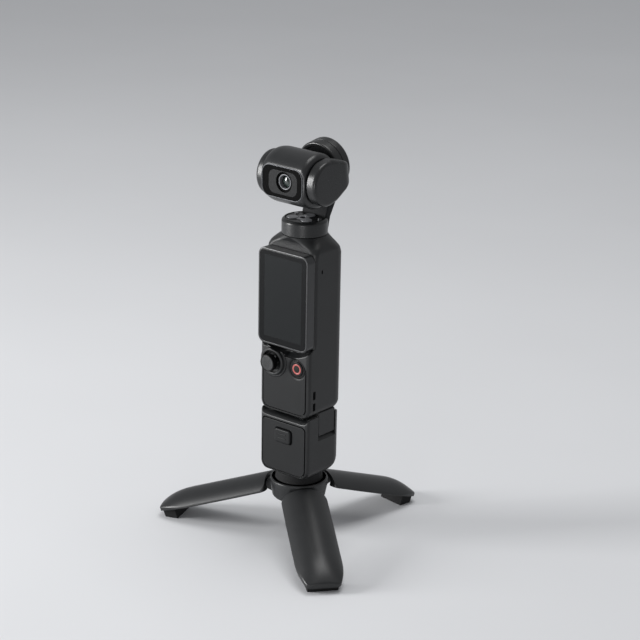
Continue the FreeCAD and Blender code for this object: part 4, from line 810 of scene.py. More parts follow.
class Use(Enum):
    """The finishes that pieces choose from."""

    # Glass-filled polycarbonate, spark-eroded mould: a soft even sheen. Its grain is far finer
    # than a pixel and is drawn at 0.5 mm so that it shows at all, as are the next finishes' grains
    SHELL = Finish(
        "shell_matt_polycarbonate", "#141516", "#18191a", 0.4,
        grain_mm=0.5, grain_deep_mm=0.005, specular=0.42,
    )
    # Sprayed satin lacquer on a moulded plate: duller than the shell, with no clear highlight
    PLATE = Finish(
        "plate_satin_lacquer", "#141516", "#18191a", 0.46,
        grain_mm=0.45, grain_deep_mm=0.004, specular=0.22,
    )
    # Glass-filled nylon of the legs and hub, moulded: lighter, with a broad highlight
    LEG = Finish(
        "leg_glass_filled_nylon", "#191a1b", "#1e1f20", 0.36,
        grain_mm=0.55, grain_deep_mm=0.006, specular=0.45,
    )
    # Moulded nitrile rubber: deep matt
    RUBBER = Finish(
        "foot_moulded_rubber", "#0d0d0e", "#131314", 0.75, grain_deep_mm=0.02, specular=0.3
    )
    # Die-cast and anodised aluminium of the gimbal arms: dyed nearly black, satin
    ARM = Finish(
        "arm_anodised_aluminium", "#121314", "#161718", 0.31, grain_mm=0.4, grain_deep_mm=0.004
    )
    # Blasted and dyed aluminium of the column behind the head: matt
    COLUMN = Finish(
        "column_blasted_aluminium", "#17181a", "#1c1d1f", 0.68,
        grain_mm=0.4, grain_deep_mm=0.006, specular=0.2,
    )
    # Hard-coated aluminium of the head: a shade lighter than the arm
    HEAD = Finish(
        "head_anodised_aluminium", "#191a1b", "#1d1e1f", 0.33, grain_mm=0.4, grain_deep_mm=0.004
    )
    # Bead-blasted and anodised frame of the screen: its edges catch the light
    FRAME = Finish(
        "frame_anodised_aluminium", "#17181a", "#1c1d1f", 0.33,
        grain_mm=0.4, grain_deep_mm=0.003, specular=0.6,
    )
    # Black moulded acrylic: deep black with a soft gloss
    GLOSS = Finish(
        "lens_black_acrylic", "#040405", "#060607", 0.3, grain_deep_mm=0.0008, specular=0.3
    )
    # Matt black paint sprayed round the lens: swallows nearly all light
    MATT_BLACK = Finish(
        "lens_matt_black_paint", "#020202", "#030303", 0.7, grain_deep_mm=0.003, specular=0.06
    )
    # Smooth moulded ABS of the buttons and the stick: black with a small soft highlight
    BUTTON = Finish(
        "button_smooth_plastic", "#070708", "#0a0a0b", 0.34, grain_deep_mm=0.003, specular=0.22
    )
    # Knurled hard plastic of the stick's face, one piece with the cap's dark side but painted much paler:
    # the pale tone is painted light that the knurled face catches
    KNURL_PAINTED_LIGHT = Finish(
        "stick_face_painted_light", "#303132", "#3c3d3e", 0.42, grain_mm=0.5, grain_deep_mm=0.004
    )
    # Dark coating in the depth of the lens: a clear, faintly green reflection
    COATING = Finish(
        "lens_dark_coating", "#0b1112", "#10191a", 0.12, coat=0.6, grain_deep_mm=0.0
    )
    # Satin black printing behind the lens window: hardly lighter than its frame
    WINDOW = Finish(
        "window_satin_black", "#0f1011", "#131415", 0.46, grain_deep_mm=0.002, specular=0.16
    )
    # Turned metal rims round the window and the lens, kept only a little metallic: their pale base colour
    # is partly the metal's own tone and partly a painted highlight of the bright shine along their thin
    # edges
    RIM_PAINTED_SHINE = Finish(
        "rim_metal_painted_shine", "#5d5f62", "#68696c", 0.42, metallic=0.3, grain_deep_mm=0.002
    )
    # Polished spring steel of the clip, kept only a little metallic: its pale base colour is a painted
    # reflection of the bright surroundings that the steel mirrors
    CHROME_PAINTED_REFLECTION = Finish(
        "clip_steel_painted_reflection", "#8f9093", "#7d7e81", 0.34, metallic=0.35, grain_deep_mm=0.004
    )
    # Brushed steel of screws and pins: its grain runs long along Z
    STEEL = Finish(
        "screw_brushed_steel", "#8f9092", "#9d9ea0", 0.32, metallic=1.0, stretch=(1.0, 1.0, 0.12)
    )
    # Turned brass of the thread insert: warm yellow
    BRASS = Finish("insert_turned_brass", "#a9853f", "#b89450", 0.3, metallic=1.0)
    # Red lacquer of the record ring under a thin clear coat: dull red with a sharp small shine
    RED = Finish(
        "ring_red_lacquer", "#9c4742", "#a6504b", 0.34, coat=0.2, grain_deep_mm=0.001
    )
    # Moulded grey centre of the record button: dark and matt inside the red ring
    GREY = Finish(
        "button_grey_centre", "#1e211f", "#242725", 0.5, grain_deep_mm=0.002, specular=0.1
    )
    # Clear acrylic light pipe of the status lamp: grey while the lamp is off
    LAMP = Finish("lamp_clear_light_pipe", "#55585a", "#606365", 0.2, grain_deep_mm=0.001)
    # Printed solder mask over woven glass board: dark green, with the weave just felt
    BOARD = Finish(
        "board_solder_mask", "#12301f", "#173a26", 0.35, grain_mm=1.2, grain_deep_mm=0.03
    )
    # Shrink-wrapped cell: dark grey film with shallow wrinkles
    CELL = Finish(
        "cell_shrink_wrap", "#26282c", "#2d3035", 0.4, grain_mm=2.0, grain_deep_mm=0.03
    )
    # Polished crown glass with an anti-reflection coating: clear, a little green at its edge
    GLASS = ClearGlass("lens_coated_glass", "#2a3330", "#5a6a66", 0.05, ior=1.52, coat=0.5)
    # Float glass printed black from behind: a smooth dark sheet over the display
    SCREEN = ScreenGlass(
        "screen_cover_glass", "#0a0b0c", "#0c0d0e", 0.16,
        ior=1.52, grain_deep_mm=0.0004, specular=0.14,
    )


CAD_FINISH = {
    Use.LEG: ("tripod_hub", "leg_front", "leg_right", "leg_left"),
    Use.RUBBER: ("hub_pad", "foot_front", "foot_right", "foot_left", "neck_cap"),
    Use.STEEL: (
        "tripod_screw", "hinge_pins", "clasp_pins", "usb_plug", "usb_socket", "body_screws",
        "pan_motor", "joystick_stem", "screen_retainer", "neck_screws", "roll_motor", "tilt_motor",
    ),
    Use.SHELL: (
        "grip_shell", "clasp_left", "clasp_right", "body_shell", "front_frame", "joystick_base",
        "screen_frame",
    ),
    Use.PLATE: ("grip_front_plate", "release_button", "control_plate", "function_key"),
    Use.BRASS: ("thread_insert",),
    Use.CELL: ("grip_battery", "camera_battery"),
    Use.BOARD: ("grip_board", "main_board", "switch_board", "image_sensor"),
    Use.BUTTON: ("speaker", "joystick_ring", "joystick_cap", "record_button", "display_panel"),
    Use.LAMP: ("status_lamp",),
    Use.RED: ("record_ring",),
    Use.SCREEN: ("screen_glass",),
    Use.ARM: ("pan_arm", "roll_cover", "roll_arm", "head_shell", "head_left_cap"),
    Use.CHROME_PAINTED_REFLECTION: ("neck_clip", "lens_ring"),
    Use.GLOSS: ("lens_bezel", "lens_barrel"),
    Use.WINDOW: ("lens_window",),
    Use.GLASS: ("lens_elements",),
}


@dataclass
class Wardrobe:
    """Builds each finish once and puts it on pieces; axis is where the neck's axis stands."""

    axis: np.ndarray
    built: dict[Use, bpy.types.Material] = field(default_factory=dict)

    def material(self, use: Use) -> bpy.types.Material:
        """The material of a finish, made when it is first asked for.

        Args:
            use: The finish.

        Returns:
            The material.
        """
        if use not in self.built:
            finish = use.value
            if isinstance(finish, ScreenGlass):
                centre = (float(self.axis[0]), PIVOT_Z + DISPLAY_RISE)
                finish = replace(finish, centre=centre)
            self.built[use] = finish.build()
        return self.built[use]

    def dress(self, thing: bpy.types.Object, use: Use) -> None:
        """Gives a piece one finish.

        Args:
            thing: The piece.
            use: The finish.
        """
        material = self.material(use)
        if not thing.material_slots:
            thing.data.materials.append(material)
        for slot in thing.material_slots:
            slot.material = material


# The object's own pieces


@dataclass
class Tripod:
    """Three curved leg shells on a slotted hub."""

    reach: float = 10.0
    hinge_z: float = 25.8
    slope: float = 20.0
    yaws: tuple[tuple[str, float], ...] = (("front", -40.0), ("right", 80.0), ("left", 200.0))
    outer: float = 15.5
    inner: float = 13.5
    centre: float = -6.8
    low: float = 1.75
    root: float = 4.8
    hollow_end: float = 62.0
    tip: float = 71.2
    root_half: float = 12.4
    half: float = 12.55
    widening: float = 20.0
    narrowing: float = 52.0
    tip_half: float = 8.6
    root_round: float = 3.0
    tip_side_round: float = 1.6
    tip_top_round: float = 0.9
    nose_start: float = 52.0
    nose_drop: float = 3.9
    rim_round: float = 0.6
    rim_wall: float = 1.6
    roof_wall: float = 1.0
    foot_chamfer: tuple[float, float] = (0.15, 0.12)
    lug: tuple[tuple[float, float], ...] = (
        (-2.9, -2.03), (-2.03, -2.9), (2.9, -2.9), (14.0, 6.3), (14.0, 7.5), (6.5, 7.5),
        (2.03, 2.9), (-2.03, 2.9), (-2.9, 2.03),
    )
    lug_half: float = 3.0

    def build(self, shop: Workshop) -> None:
        """Makes the legs and softens the hub and the feet.

        Args:
            shop: The workshop that makes them.
        """
        for name, yaw in self.yaws:
            leg = f"leg_{name}"
            place = self.leg_place(yaw)
            shop.make(leg, Use.LEG, f"{leg}_shell", self.shell_rows(), place)
            shop.make(leg, Use.LEG, f"{leg}_lug", self.lug_rows(), place, bevel=0.35)
            shop.soft_copy(f"foot_{name}", Use.RUBBER, edge=0.35)
        shop.soft_copy("tripod_hub", Use.LEG, edge=0.3)
        shop.soft_copy("hub_pad", Use.RUBBER, edge=0.25)

    def leg_place(self, yaw: float) -> Place:
        """A leg's own frame: the pin at its origin, X along the leg, turned down and round.

        Args:
            yaw: The leg's direction in degrees round the hub.

        Returns:
            The frame.
        """
        round_hub = Matrix.Rotation(math.radians(yaw), 3, "Z")
        turn = round_hub @ Matrix.Rotation(math.radians(self.slope), 3, "Y")
        a = math.radians(yaw)
        origin = (self.reach * math.cos(a), self.reach * math.sin(a) + HUB_Y, self.hinge_z)
        return Place(np.array(turn).T, origin)

    def half_width(self, x: float) -> float:
        """The shell's half width: rounded at the root, then drawn in as (share)^2.2 to the tip.

        Args:
            x: Distance from the pin along the leg.

        Returns:
            Half the width there.
        """
        share = min(max((x - self.root) / self.widening, 0.0), 1.0)
        half = self.root_half + (self.half - self.root_half) * share
        half -= self.root_round * quarter(x - self.root, self.root_round)
        run = max(x - self.narrowing, 0.0) / (self.tip - self.narrowing)
        half -= (self.half - self.tip_half) * run**2.2
        return half - self.tip_side_round * quarter(self.tip - x, self.tip_side_round)

    def roof(self, x: float, y: np.ndarray) -> np.ndarray:
        """The top's height: an arc whose rise above the rims shrinks towards the tip.

        The arc is c + sqrt(R^2 - y^2); its rise above the lower rim is scaled by
        1 - drop / rise (run)^2.4 past the start of the nose, and rounded off at the end.

        Args:
            x: Distance from the pin along the leg.
            y: Places across the leg.

        Returns:
            One height for each place.
        """
        arc = self.centre + np.sqrt(self.outer**2 - y**2)
        rise = self.centre + self.outer - self.low
        run = max(x - self.nose_start, 0.0) / (self.tip - self.nose_start)
        share = 1.0 - self.nose_drop / rise * run**2.4
        ended = self.tip_top_round * quarter(self.tip - x, self.tip_top_round)
        return self.low + (arc - self.low) * share - ended

    def stations(self) -> np.ndarray:
        """Where the leg is cut across: close together where its ends are rounded.

        Returns:
            Rising distances from the pin along the leg.
        """
        return np.concatenate([
            self.root + np.array([0.0, 0.06, 0.2, 0.45, 0.8, 1.3, 1.9, 2.5, 3.2]),
            np.linspace(self.root + 7.0, self.nose_start, 9),
            np.linspace(self.nose_start + 1.0, self.hollow_end - 0.02, 5),
            np.linspace(self.hollow_end + 0.02, self.tip - 1.5, 9),
            self.tip - np.array([1.3, 1.0, 0.7, 0.45, 0.25, 0.1, 0.03, 0.0]),
        ])

    def shell_rows(self) -> np.ndarray:
        """Cross-sections along the leg: the roof, rounded rims, and the underside back.

        The rims leave the roof in a quarter round; the underside is the inner arc as far as the
        hollow reaches, and flat under the closed tip.

        Returns:
            Array (sections, points, 3).
        """
        e = self.rim_round
        turn = np.linspace(0.0, math.pi / 2, 7)[1:]
        hollow_reach = math.sqrt(self.inner**2 - (self.low - self.centre) ** 2)
        rows = []
        for x in self.stations():
            half = self.half_width(x)
            y = np.linspace(-half + e, half - e, 41)
            over = np.column_stack([y, self.roof(x, y)])
            y = half - e + e * np.sin(turn)
            side = np.column_stack([y, self.roof(x, y) - e * (1.0 - np.cos(turn))])
            floor = min(self.low, float(side[-1, 1]) - 0.1)
            inwards, upwards = self.foot_chamfer
            foot = np.array([(half, floor + upwards), (half - inwards, floor)])
            right = np.concatenate([side, foot])
            left = right[::-1] * np.array([-1.0, 1.0])
            reach = min(hollow_reach, half - self.rim_wall)
            y = np.linspace(reach, -reach, 31)
            under = np.full(len(y), floor)
            if x < self.hollow_end:
                vault = self.centre + np.sqrt(self.inner**2 - y**2)
                under = np.minimum(vault, self.roof(x, y) - self.roof_wall)
                under[0] = under[-1] = floor
            ring = np.concatenate([over, right, np.column_stack([y, under]), left])
            rows.append(np.column_stack([np.full(len(ring), x), ring]))
        return np.stack(rows)

    def lug_rows(self) -> np.ndarray:
        """The hinge lug: its side view at both of its faces, from the pin to under the shell.

        Returns:
            Array (2, points, 3).
        """
        x, z = np.array(self.lug).T
        faces = (-self.lug_half, self.lug_half)
        return np.stack([np.column_stack([x, np.full(len(x), y), z]) for y in faces])


@dataclass
class Handle:
    """The battery handle: a soft box with a cradle on top, a plate, a button and two clasps."""

    half: float = 16.5
    front: float = -15.0
    back: float = 13.5
    low: float = 38.1
    top: float = 72.4
    side_round: float = 4.5
    rear_round: float = 8.0
    front_round: float = 0.9
    corners: tuple[float, float] = (2.2, 6.5)
    least_corners: tuple[float, float] = (0.4, 0.6)
    bend: float = 62.0
    cradle_half: float = 18.45
    cradle_floor: float = 70.5
    cradle_round: float = 6.7
    rim_round: float = 0.5
    rim_drop: float = 1.5
    rim_depth: float = 2.2
    plate: Panel = Panel(-14.4, 14.4, 39.3, 67.2, (3.95, 1.95, 1.95, 3.95))
    plate_back: float = 14.0
    plate_bed_floor: float = 13.6
    button: Panel = Panel(-5.4, 5.4, 56.0, 63.6, 1.5)
    button_reach: tuple[float, float] = (12.8, 16.3)
    button_pocket: float = 10.8
    ridges: tuple[float, float] = (58.7, 60.9)
    ridge_half: tuple[float, float] = (2.6, 0.36)
    ridge_reach: tuple[float, float] = (16.0, 16.58)
    clasp_bed: tuple[tuple[float, float], ...] = ((14.3, 60.5), (18.0, 56.8), (18.0, 76.0), (14.3, 76.0))
    clasp_span: tuple[float, float] = (-8.0, 6.0)
    bores: tuple[Cut, ...] = (
        Cut("cut_cavity", Panel(-12.8, 12.8, -11.8, 11.7, 3.0), UPRIGHT, 47.0, 67.0),
        Cut("cut_insert", 4.66, Place.of(Way.UP, y=HUB_Y), 30.0, 45.9, 48),
        Cut("cut_plug", Panel(-4.3, 4.3, -2.35, 0.35, 1.2), UPRIGHT, 66.0, 75.0),
    )

    def build(self, shop: Workshop) -> None:
        """Makes the shell and its plate and button, and softens the clasps.

        Args:
            shop: The workshop that makes them.
        """
        face = -self.front
        shell = shop.skin("handle_shell", self.rows(), UPRIGHT)
        shop.keep(shop.finish(shell, self.cutters(shop)), Use.SHELL, "grip_shell")
        rows = soft_slab(self.plate, self.plate_back, face, edge=0.25)
        plate = shop.skin("handle_front_plate", rows, FORWARD)
        rows = recess(self.button.grown(0.35, 0.25), self.plate_back - 1.0, face, chamfer=0.22)
        opening = shop.skin("plate_opening", rows, FORWARD)
        shop.keep(shop.finish(plate, [opening]), Use.PLATE, "grip_front_plate")
        button = "release_button"
        rows = soft_slab(self.button, *self.button_reach, edge=0.85)
        shop.make(button, Use.PLATE, button, rows, FORWARD)
        wide, high = self.ridge_half
        for index, level in enumerate(self.ridges):
            ridge = Panel(-wide, wide, level - high, level + high, 0.33)
            rows = soft_slab(ridge, *self.ridge_reach, edge=0.3, steps=3)
            shop.make(button, Use.PLATE, f"release_ridge_{index}", rows, FORWARD)
        for side in ("left", "right"):
            shop.soft_copy(f"clasp_{side}", Use.SHELL, edge=0.3)

    def cradle(self, x: np.ndarray) -> np.ndarray:
        """The trough's height across the handle: flat, then an arc up to each horn.

        Args:
            x: Places across the handle.

        Returns:
            One height for each place.
        """
        start = self.cradle_half - self.cradle_round
        over = np.clip(np.abs(x) - start, 0.0, None)
        rise = self.cradle_round - np.sqrt(np.clip(self.cradle_round**2 - over**2, 0.0, None))
        return np.minimum(self.cradle_floor + rise, self.top)

    def ring(self, level: float, pull: float = 0.0) -> np.ndarray:
        """The handle's outline at one level, drawn in by the roundings at its foot.

        Args:
            level: Height of the outline.
            pull: How much further in all of it lies.

        Returns:
            Array (points, 2).
        """
        up = level - self.low
        side = self.side_round * quarter(up, self.side_round) + pull
        rear = self.rear_round * quarter(up, self.rear_round) + pull
        fore = self.front_round * quarter(up, self.front_round) + pull
        near, far = (max(r - pull, least) for r, least in zip(self.corners, self.least_corners))
        panel = Panel(
            side - self.half, self.half - side, self.front + fore, self.back - rear,
            (near, far, far, near),
        )
        return panel.ring(side=12)

    def rows(self) -> np.ndarray:
        """Rings from the foot to the cradle; the upper ones bend to the trough's curve.

        A ring at level L lies at L + (L - bend) / (top - bend) (trough(x) - top), and the front
        of the rim slopes down, as the trough's front edge does. The rim turns over in a quarter
        round, and the trough's floor closes inwards in five more rings.

        Returns:
            Array (rings, points, 3).
        """
        foot = self.low + self.rear_round * (1.0 - np.cos(np.linspace(0.0, math.pi / 2, 15)))
        walls = [foot, np.linspace(48.0, self.bend, 5), np.linspace(64.0, self.top, 6)[:-1]]
        rows = []
        for level in np.concatenate(walls):
            ring = self.ring(level)
            share = max(level - self.bend, 0.0) / (self.top - self.bend)
            height = level + share * (self.cradle(ring[:, 0]) - self.top)
            rows.append(np.column_stack([ring, height]))
        turned_over = [
            (self.rim_round * (1.0 - math.cos(t)), self.rim_round * (1.0 - math.sin(t)))
            for t in np.linspace(0.0, math.pi / 2, 6)
        ]
        closing = [(pull, 0.0) for pull in (0.9, 1.5, 2.4, 3.6, 4.9)]
        for pull, drop in turned_over + closing:
            ring = self.ring(self.top, pull)
            rows.append(np.column_stack([ring, self.cradle(ring[:, 0]) - drop]))
        grid = np.stack(rows)
        fore, height = grid[:, :, 1], grid[:, :, 2]
        drop = self.rim_drop * np.clip(1.0 - (fore - self.front) / self.rim_depth, 0.0, 1.0)
        upper = np.clip((height - self.bend) / (self.cradle_floor - self.bend), 0.0, 1.0)
        grid[:, :, 2] -= drop * upper**2
        return grid

    def cutters(self, shop: Workshop) -> list[bpy.types.Object]:
        """The plate's recess, the button's opening, the bores and both clasp recesses.

        Args:
            shop: The workshop that makes them.

        Returns:
            Closed forms to cut away.
        """
        face = -self.front
        plate_bed = recess(self.plate.grown(0.45, 0.35), self.plate_bed_floor, face, chamfer=0.3)
        pocket = Cut("cut_button", self.button.grown(0.5, 0.1), FORWARD, self.button_pocket, face)
        made = [shop.skin("cut_plate", plate_bed, FORWARD)]
        made += [cut.cutter(shop) for cut in (pocket, *self.bores)]
        for name, side in (("left", -1.0), ("right", 1.0)):
            bed = np.array(self.clasp_bed) * np.array([side, 1.0])
            made.append(shop.skin(f"cut_clasp_{name}", prism(bed, *self.clasp_span), FORWARD))
        return made


@dataclass
class CameraBody:
    """The camera's shell: a soft box with a shelf behind the screen and shoulders to the neck."""

    half: float = 16.75
    low: float = 72.2
    seam: float = 168.85
    back: float = 14.0
    cover: float = -10.9
    base: float = 5.0
    base_rear: float = 6.0
    base_front: float = 1.8
    corners: tuple[float, float] = (2.2, 6.5)
    shelf: tuple[float, float] = (31.9, 2.6)
    sweep: tuple[float, float] = (29.9, 0.35)
    boss: tuple[float, float] = (8.9, 1.2)
    front_depth: float = 2.2
    # Height, half width, front, back, and the front and rear corner radii
    shoulder: tuple[tuple[float, ...], ...] = (
        (159.0, 16.75, 10.9, 14.0, 2.2, 6.5),
        (161.8, 16.75, 10.9, 13.6, 3.2, 7.6),
        (164.0, 16.3, 10.95, 12.95, 5.2, 9.8),
        (166.0, 15.0, 11.1, 12.3, 8.2, 11.3),
        (167.6, 13.4, 11.6, 12.1, 10.7, 11.95),
        (168.85, 12.06, 12.06, 12.06, 12.06, 12.06),
    )
    plate: Panel = Panel(-14.36, 14.36, 74.1, 104.36, (3.75, 6.95, 3.75, 3.75))
    plate_back: float = 14.15
    plate_bed: Panel = Panel(-14.78, 14.78, 73.67, 104.78, (4.05, 7.3, 4.05, 4.05))
    plate_bed_floor: float = 13.7
    flange: Cut = Cut("cut_flange", 8.85, forward_at(STICK), 13.0, 16.0, 96)
    dish: tuple[tuple[float, float], ...] = ((5.3, 13.0), (5.3, 14.3), (6.4, 14.95), (6.4, 16.0))
    openings: tuple[Cut, ...] = (
        Cut("cut_stick", 8.8, forward_at(STICK), 14.1, 20.0, 72),
        Cut("cut_well", 6.0, forward_at(STICK), 11.6, 15.0, 48),
        Cut("cut_record", 5.35, forward_at(RECORD), 12.1, 15.0, 48),
        Cut("cut_cover", Panel(-14.78, 14.78, 113.37, 158.43, 2.5), FORWARD, 9.95, 12.0),
        Cut("cut_hub", 7.7, forward_at((0.0, PIVOT_Z)), 4.0, 10.5, 48),
        Cut("cut_key", Panel(-5.35, 5.35, 106.65, 108.95, 1.1), FORWARD, 8.5, 12.0, 8),
        Cut("cut_lamp", 0.6, forward_at((-10.0, 109.0)), 9.0, 12.0, 24),
        Cut("cut_hollow", Panel(-15.1, 15.1, -9.2, 12.4, (1.5, 5.0, 5.0, 1.5)), UPRIGHT, 78.0, 157.0),
        Cut("cut_port", Panel(-5.1, 5.1, -3.1, 1.1, 1.9), UPRIGHT, 70.0, 79.0),
        Cut("cut_microphone", Panel(-5.9, -4.9, 150.9, 153.1, 0.45), TO_RIGHT, 15.4, 18.0),
        Cut("cut_speaker_0", Panel(-11.2, -9.2, 76.7, 81.0, 0.45), TO_RIGHT, 14.6, 18.0),
        Cut("cut_speaker_1", Panel(-11.2, -9.2, 83.0, 87.6, 0.45), TO_RIGHT, 14.6, 18.0),
        Cut("cut_notch_left", Panel(-18.0, -14.3, 70.0, 74.7, 0.2), FORWARD, -8.0, 5.6),
        Cut("cut_notch_right", Panel(14.3, 18.0, 70.0, 74.7, 0.2), FORWARD, -8.0, 5.6),
    )

    def build(self, shop: Workshop) -> None:
        """Makes the shell with its openings and softens the pieces let into it.

        Args:
            shop: The workshop that makes them.
        """
        shell = shop.skin("camera_shell", self.rows(), UPRIGHT)
        plate_bed = recess(self.plate_bed, self.plate_bed_floor, FACE, chamfer=0.3)
        cutters = [shop.skin("cut_control", plate_bed, FORWARD)]
        cutters += [cut.cutter(shop) for cut in self.openings]
        shop.keep(shop.finish(shell, cutters), Use.SHELL, "body_shell")
        rows = soft_slab(self.plate, self.plate_back, FACE, edge=0.22)
        plate = shop.skin("control_plate_skin", rows, FORWARD)
        dish = shop.skin("cut_dish", turned_rows(self.dish, 96), forward_at(RECORD))
        shop.keep(shop.finish(plate, [self.flange.cutter(shop), dish]), Use.PLATE, "control_plate")
        shop.soft_copy("front_frame", Use.SHELL, edge=0.12)
        shop.soft_copy("function_key", Use.PLATE, edge=0.2)

    def ring(self, level: float) -> np.ndarray:
        """The body's outline at one level, before the shelf.

        Args:
            level: Height of the outline.

        Returns:
            Array (points, 2).
        """
        if level < self.shoulder[0][0]:
            up = level - self.low
            half = self.half - self.base * quarter(up, self.base)
            front = FACE - self.base_front * quarter(up, self.base_front)
            back = self.back - self.base_rear * quarter(up, self.base_rear)
            near, far = self.corners
        else:
            table = np.array(self.shoulder)
            half, front, back, near, far = through(table[:, 0], table[:, 1:], np.array([level]))[0]
        return Panel(-half, half, -front, back, (near, far, far, near)).ring(side=44)

    def rows(self) -> np.ndarray:
        """Rings from the base to the neck, with the front set back above the shelf's curve.

        The front stands back from the face to the cover by S((31.9 - p) / 2.6), p the distance
        from the screen's pivot, except round the joystick's boss, and by all of it inside the
        screen's sweep.

        Returns:
            Array (rings, points, 3).
        """
        foot = self.low + self.base_rear * (1.0 - np.cos(np.linspace(0.0, math.pi / 2, 13)))
        levels = np.concatenate([
            foot,
            np.linspace(81.0, 102.0, 6),
            np.arange(102.4, 111.0, 0.22),
            np.linspace(114.0, 156.0, 8),
            np.linspace(self.shoulder[0][0], self.seam, 30),
        ])
        grid = np.stack([lifted(self.ring(level), level) for level in levels])
        x, y, z = grid[:, :, 0], grid[:, :, 1], grid[:, :, 2]
        away = np.hypot(x, z - PIVOT_Z)
        from_stick = np.hypot(x - STICK[0], z - STICK[1])
        broad = np.minimum(
            smooth_step((self.shelf[0] - away) / self.shelf[1]),
            smooth_step((from_stick - self.boss[0]) / self.boss[1]),
        )
        share = np.maximum(broad, smooth_step((self.sweep[0] - away) / self.sweep[1]))
        share = np.where(z >= PIVOT_Z, 1.0, share)
        in_front = np.clip(y / (self.front_depth - FACE), 0.0, 1.0)
        straight = z < self.shoulder[0][0]
        grid[:, :, 1] = np.where(straight, y + (self.cover + FACE) * share * in_front, y)
        return grid


@dataclass
class Screen:
    """The swivelling screen: a soft-edged frame with its hub, and a sheet of cover glass."""

    frame: Panel = Panel(-16.75, 16.75, PIVOT_Z - 26.1, PIVOT_Z + 26.1, 4.0)
    front: float = 17.0
    back: float = 11.13
    rim: float = 1.05
    rim_depth: float = 0.85
    glass_gap: float = 0.03
    glass_reach: tuple[float, float] = (16.2, 16.93)
    hub: Profile = ((AXIS, 6.4, 0), (5.0, 6.4, 0.4), (5.0, 11.6, 0), (AXIS, 11.6, 0))

    def build(self, shop: Workshop) -> None:
        """Makes the frame, the hub and the glass, and softens the retainer.

        Args:
            shop: The workshop that makes them.
        """
        node = "screen_frame"
        shop.make(node, Use.FRAME, node, self.frame_rows(), FORWARD)
        shop.make(node, Use.FRAME, "screen_hub", turned(self.hub, 6, 96), forward_at((0.0, PIVOT_Z)))
        pane = self.frame.grown(-self.rim - self.glass_gap, -0.7)
        rows = soft_slab(pane, *self.glass_reach, edge=0.16, steps=3)
        shop.make("screen_glass", Use.SCREEN, "screen_glass", rows, FORWARD)
        shop.soft_copy("screen_retainer", Use.STEEL, edge=0.1)

    def frame_rows(self) -> np.ndarray:
        """Rings from the back, out to the side, round the front rim and down to the glass.

        The section is a rounded profile of (distance in from the side, level); the corner radii
        shrink by 0.7 of that distance.

        Returns:
            Array (rings, points, 3).
        """
        section = rounded_profile(
            (
                (0.35, self.back, 0.0),
                (0.0, self.back + 0.35, 0.3),
                (0.0, self.front, 1.0),
                (self.rim, self.front, 0.18),
                (self.rim, self.front - self.rim_depth, 0.0),
            ),
            7,
        )
        return np.stack([lifted(self.frame.grown(-p, -0.7 * p).ring(12), level) for p, level in section])


@dataclass
class Controls:
    """The joystick with its stepped boss, and the record button."""

    cap_radius: float = 4.5
    cap_low: float = 2.2
    cap_face: float = 5.56
    knurl_radius: float = 3.9
    pitch: float = 0.8
    relief: float = 0.24
    ring: Profile = (
        (1.95, -0.38, 0), (2.85, -0.38, 0), (2.85, 0.06, 0.18), (1.95, 0.06, 0.18), (1.93, -0.3, 0),
    )
    centre: Profile = ((AXIS, -0.3, 0), (1.85, -0.3, 0), (1.85, 0.0, 0.2), (AXIS, 0.02, 0))

    def build(self, shop: Workshop) -> None:
        """Makes the cap with its knurled face and the record button's ring, and softens the rest.

        Args:
            shop: The workshop that makes them.
        """
        stick = forward_at(STICK, -FACE)
        record = forward_at(RECORD, -FACE)
        shop.make("joystick_cap", Use.BUTTON, "joystick_cap_skirt", self.cap_rows(), stick)
        # The face's pale finish is painted light on the same plastic as the dark skirt
        shop.make("joystick_cap", Use.KNURL_PAINTED_LIGHT, "joystick_cap_face", self.face_rows(), stick)
        shop.soft_copy("joystick_base", Use.SHELL, edge=0.16)
        shop.soft_copy("record_button", Use.BUTTON, edge=0.12)
        node = "record_ring"
        shop.make(node, Use.RED, node, turned(self.ring, 4, 72), record, looped=True)
        shop.make("record_button", Use.GREY, "record_centre", turned(self.centre, 4, 64), record)

    def cap_rows(self) -> np.ndarray:
        """The cap's skirt and its rounded rim, down to the floor of the face.

        Returns:
            Array (rings, points, 3).
        """
        floor = self.cap_face - 0.3
        profile = (
            (AXIS, self.cap_low, 0),
            (self.cap_radius, self.cap_low, 0.3),
            (self.cap_radius, self.cap_face, 0.7),
            (self.knurl_radius, self.cap_face, 0.12),
            (self.knurl_radius - 0.08, floor, 0),
            (AXIS, floor, 0),
        )
        return turned(profile, 6, 96)

    def face_rows(self) -> np.ndarray:
        """The stick's face, a disc whose height carries a grid of small diamonds.

        The height is the disc's plus relief |sin(k (x + y)) sin(k (x - y))| with k = pi / pitch,
        fading out over the last 0.3 mm.

        Returns:
            Array (rings, points, 3).
        """
        low = self.cap_face - 0.22
        edge = self.knurl_radius - 0.1
        under = [(AXIS, low - 0.06), (edge, low - 0.06)]
        rows = turned_rows(under + [(float(r), low) for r in np.linspace(edge, AXIS, 52)], 216)
        k = math.pi / self.pitch
        x, y = rows[2:, :, 0], rows[2:, :, 1]
        diamonds = np.abs(np.sin(k * (x + y)) * np.sin(k * (x - y)))
        fade = np.clip((edge - np.hypot(x, y)) / 0.3, 0.0, 1.0)
        rows[2:, :, 2] += self.relief * diamonds * fade
        return rows


